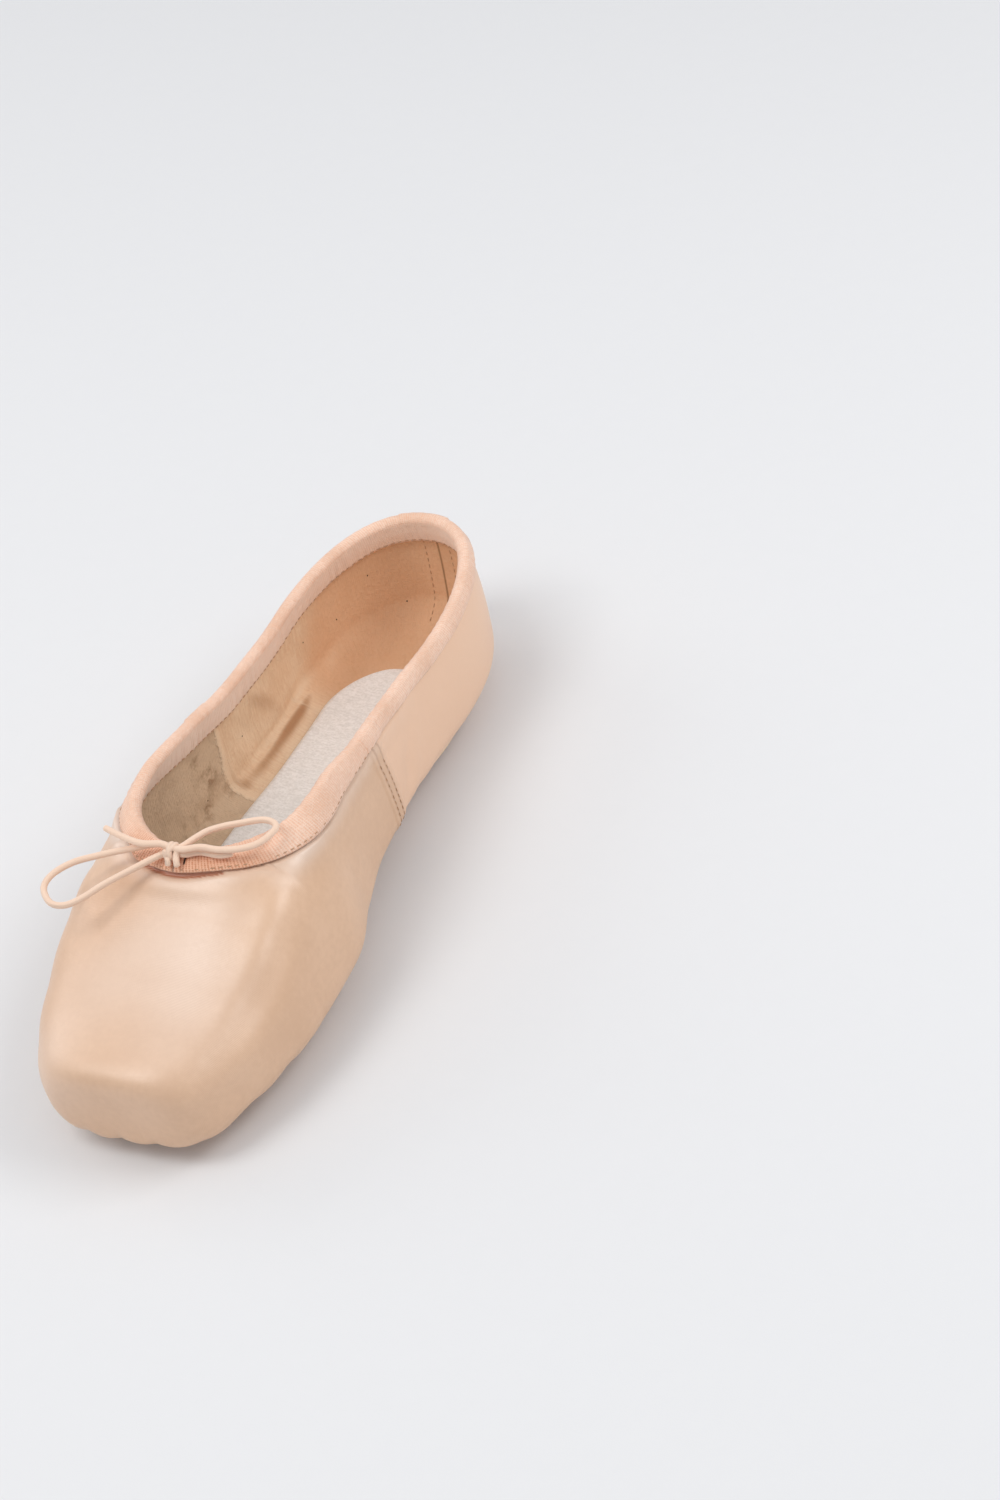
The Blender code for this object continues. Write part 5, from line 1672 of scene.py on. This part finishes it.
class SHOE_OT_seams(bpy.types.Operator):
    """Make the stitch rows, the lining's pin holes and the tape's slit"""

    bl_idname = "shoe.seams"
    bl_label = "Stitches, Pin Holes and Slit"

    def execute(self, context):
        look = context.scene.shoe_look
        mottle = groups()[1]
        # The thread's colour holds painted shade for its needle holes.
        make_stitches(look, plain_material("sewing thread", look.thread, 0.6, mottle))
        # Painted shade: one near-black colour for the pin holes and the slit, where the openings lie in
        # shade.
        dark = plain_material("pin hole", (0.06, 0.03, 0.02), 0.9, mottle)
        make_pin_holes(dark)
        make_slit(dark)
        return {"FINISHED"}


def view_axes(azimuth, elevation, roll):
    """Right, up and back vectors of a view, from its angles in degrees."""
    az, el, turn = np.radians([azimuth, elevation, roll])
    back = np.array([math.sin(az) * math.cos(el), -math.cos(az) * math.cos(el), math.sin(el)])
    right = np.array([math.cos(az), math.sin(az), 0.0])
    up = np.cross(back, right)
    return (math.cos(turn) * right + math.sin(turn) * up,
            math.cos(turn) * up - math.sin(turn) * right, back)


def place_object(thing, place, axes):
    """Put an object at a place with its axes as right, up and back."""
    matrix = np.eye(4)
    matrix[:3, :3] = np.stack(axes, 1)
    matrix[:3, 3] = place
    thing.matrix_world = Matrix(matrix.tolist())


def area_light(name, place, target, size, power, colour):
    """Add a rectangular softbox that faces a target."""
    data = bpy.data.lights.new(name, "AREA")
    data.shape = "RECTANGLE"
    data.size, data.size_y = size
    data.energy = power
    data.color = colour
    thing = bpy.data.objects.new(name, data)
    bpy.context.scene.collection.objects.link(thing)
    back = unit(np.array(place) - np.array(target))
    right = unit(np.cross([0.0, 0.0, 1.0], back))
    place_object(thing, place, (right, np.cross(back, right), back))


class SHOE_OT_stage(bpy.types.Operator):
    """Make the floor, the lights and the camera"""

    bl_idname = "shoe.stage"
    bl_label = "Stage"

    def execute(self, context):
        stage = context.scene.shoe_stage
        scene = context.scene
        camera_data = bpy.data.cameras.new("camera")
        camera_data.sensor_fit = "AUTO"
        camera_data.sensor_width = 36.0
        camera_data.lens = stage.lens
        camera_data.clip_start = 0.01
        camera = bpy.data.objects.new("camera", camera_data)
        scene.collection.objects.link(camera)
        place_object(camera, stage.camera_place, view_axes(stage.azimuth, stage.elevation, stage.roll))
        scene.camera = camera
        corners = [(x, y, -FLOOR_DROP) for x, y in ((-4, -4), (4, -4), (4, 4), (-4, 4))]
        mesh = bpy.data.meshes.new("floor")
        mesh.from_pydata(corners, [], [(0, 1, 2, 3)])
        mesh.materials.append(plain_material("pale floor", stage.floor, 0.7, groups()[1], 0.02))
        floor = bpy.data.objects.new("floor", mesh)
        scene.collection.objects.link(floor)
        aim = (0.0, 0.0, 0.02)
        area_light("key", (-0.42, -0.40, 1.25), aim, (0.55, 0.75), stage.key_power, (1.0, 0.99, 0.975))
        area_light("left", (-1.15, 0.25, 0.60), aim, (0.7, 0.7), 0.65 * stage.fill_power, (1.0, 0.99, 0.98))
        area_light("right", (0.85, 0.35, 0.95), aim, (0.7, 0.5), 1.4 * stage.fill_power, (1.0, 1.0, 1.0))
        scene.view_settings.view_transform = "Standard"
        world = bpy.data.worlds.new("studio")
        world.use_nodes = True
        sky = world.node_tree.nodes["Background"]
        sky.inputs["Color"].default_value = (0.95, 0.97, 1.0, 1.0)
        sky.inputs["Strength"].default_value = stage.sky
        scene.world = world
        return {"FINISHED"}


PIECE_OPERATORS = (SHOE_OT_stage, SHOE_OT_drawstring, SHOE_OT_upper, SHOE_OT_casing, SHOE_OT_sole,
                   SHOE_OT_seams)


class SHOE_PT_pieces(bpy.types.Panel):
    """Lists the shoe's pieces and its stage"""

    bl_idname = "SHOE_PT_pieces"
    bl_label = "Pointe Shoe"
    bl_space_type = "VIEW_3D"
    bl_region_type = "UI"
    bl_category = "Shoe"

    def draw(self, context):
        for operator in PIECE_OPERATORS:
            self.layout.operator(operator.bl_idname)


CLASSES = (ShoeLook, ShoeStage, *PIECE_OPERATORS, SHOE_PT_pieces)


def register():
    """Register the classes and the scene's settings."""
    for item in CLASSES:
        bpy.utils.register_class(item)
    bpy.types.Scene.shoe_look = bpy.props.PointerProperty(type=ShoeLook)
    bpy.types.Scene.shoe_stage = bpy.props.PointerProperty(type=ShoeStage)


def unregister():
    """Remove the settings and the classes."""
    del bpy.types.Scene.shoe_look
    del bpy.types.Scene.shoe_stage
    for item in reversed(CLASSES):
        bpy.utils.unregister_class(item)


def main():
    """Register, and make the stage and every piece."""
    register()
    bpy.ops.shoe.stage()
    bpy.ops.shoe.drawstring()
    bpy.ops.shoe.upper()
    bpy.ops.shoe.casing()
    bpy.ops.shoe.sole()
    bpy.ops.shoe.seams()


if __name__ == "__main__":
    main()
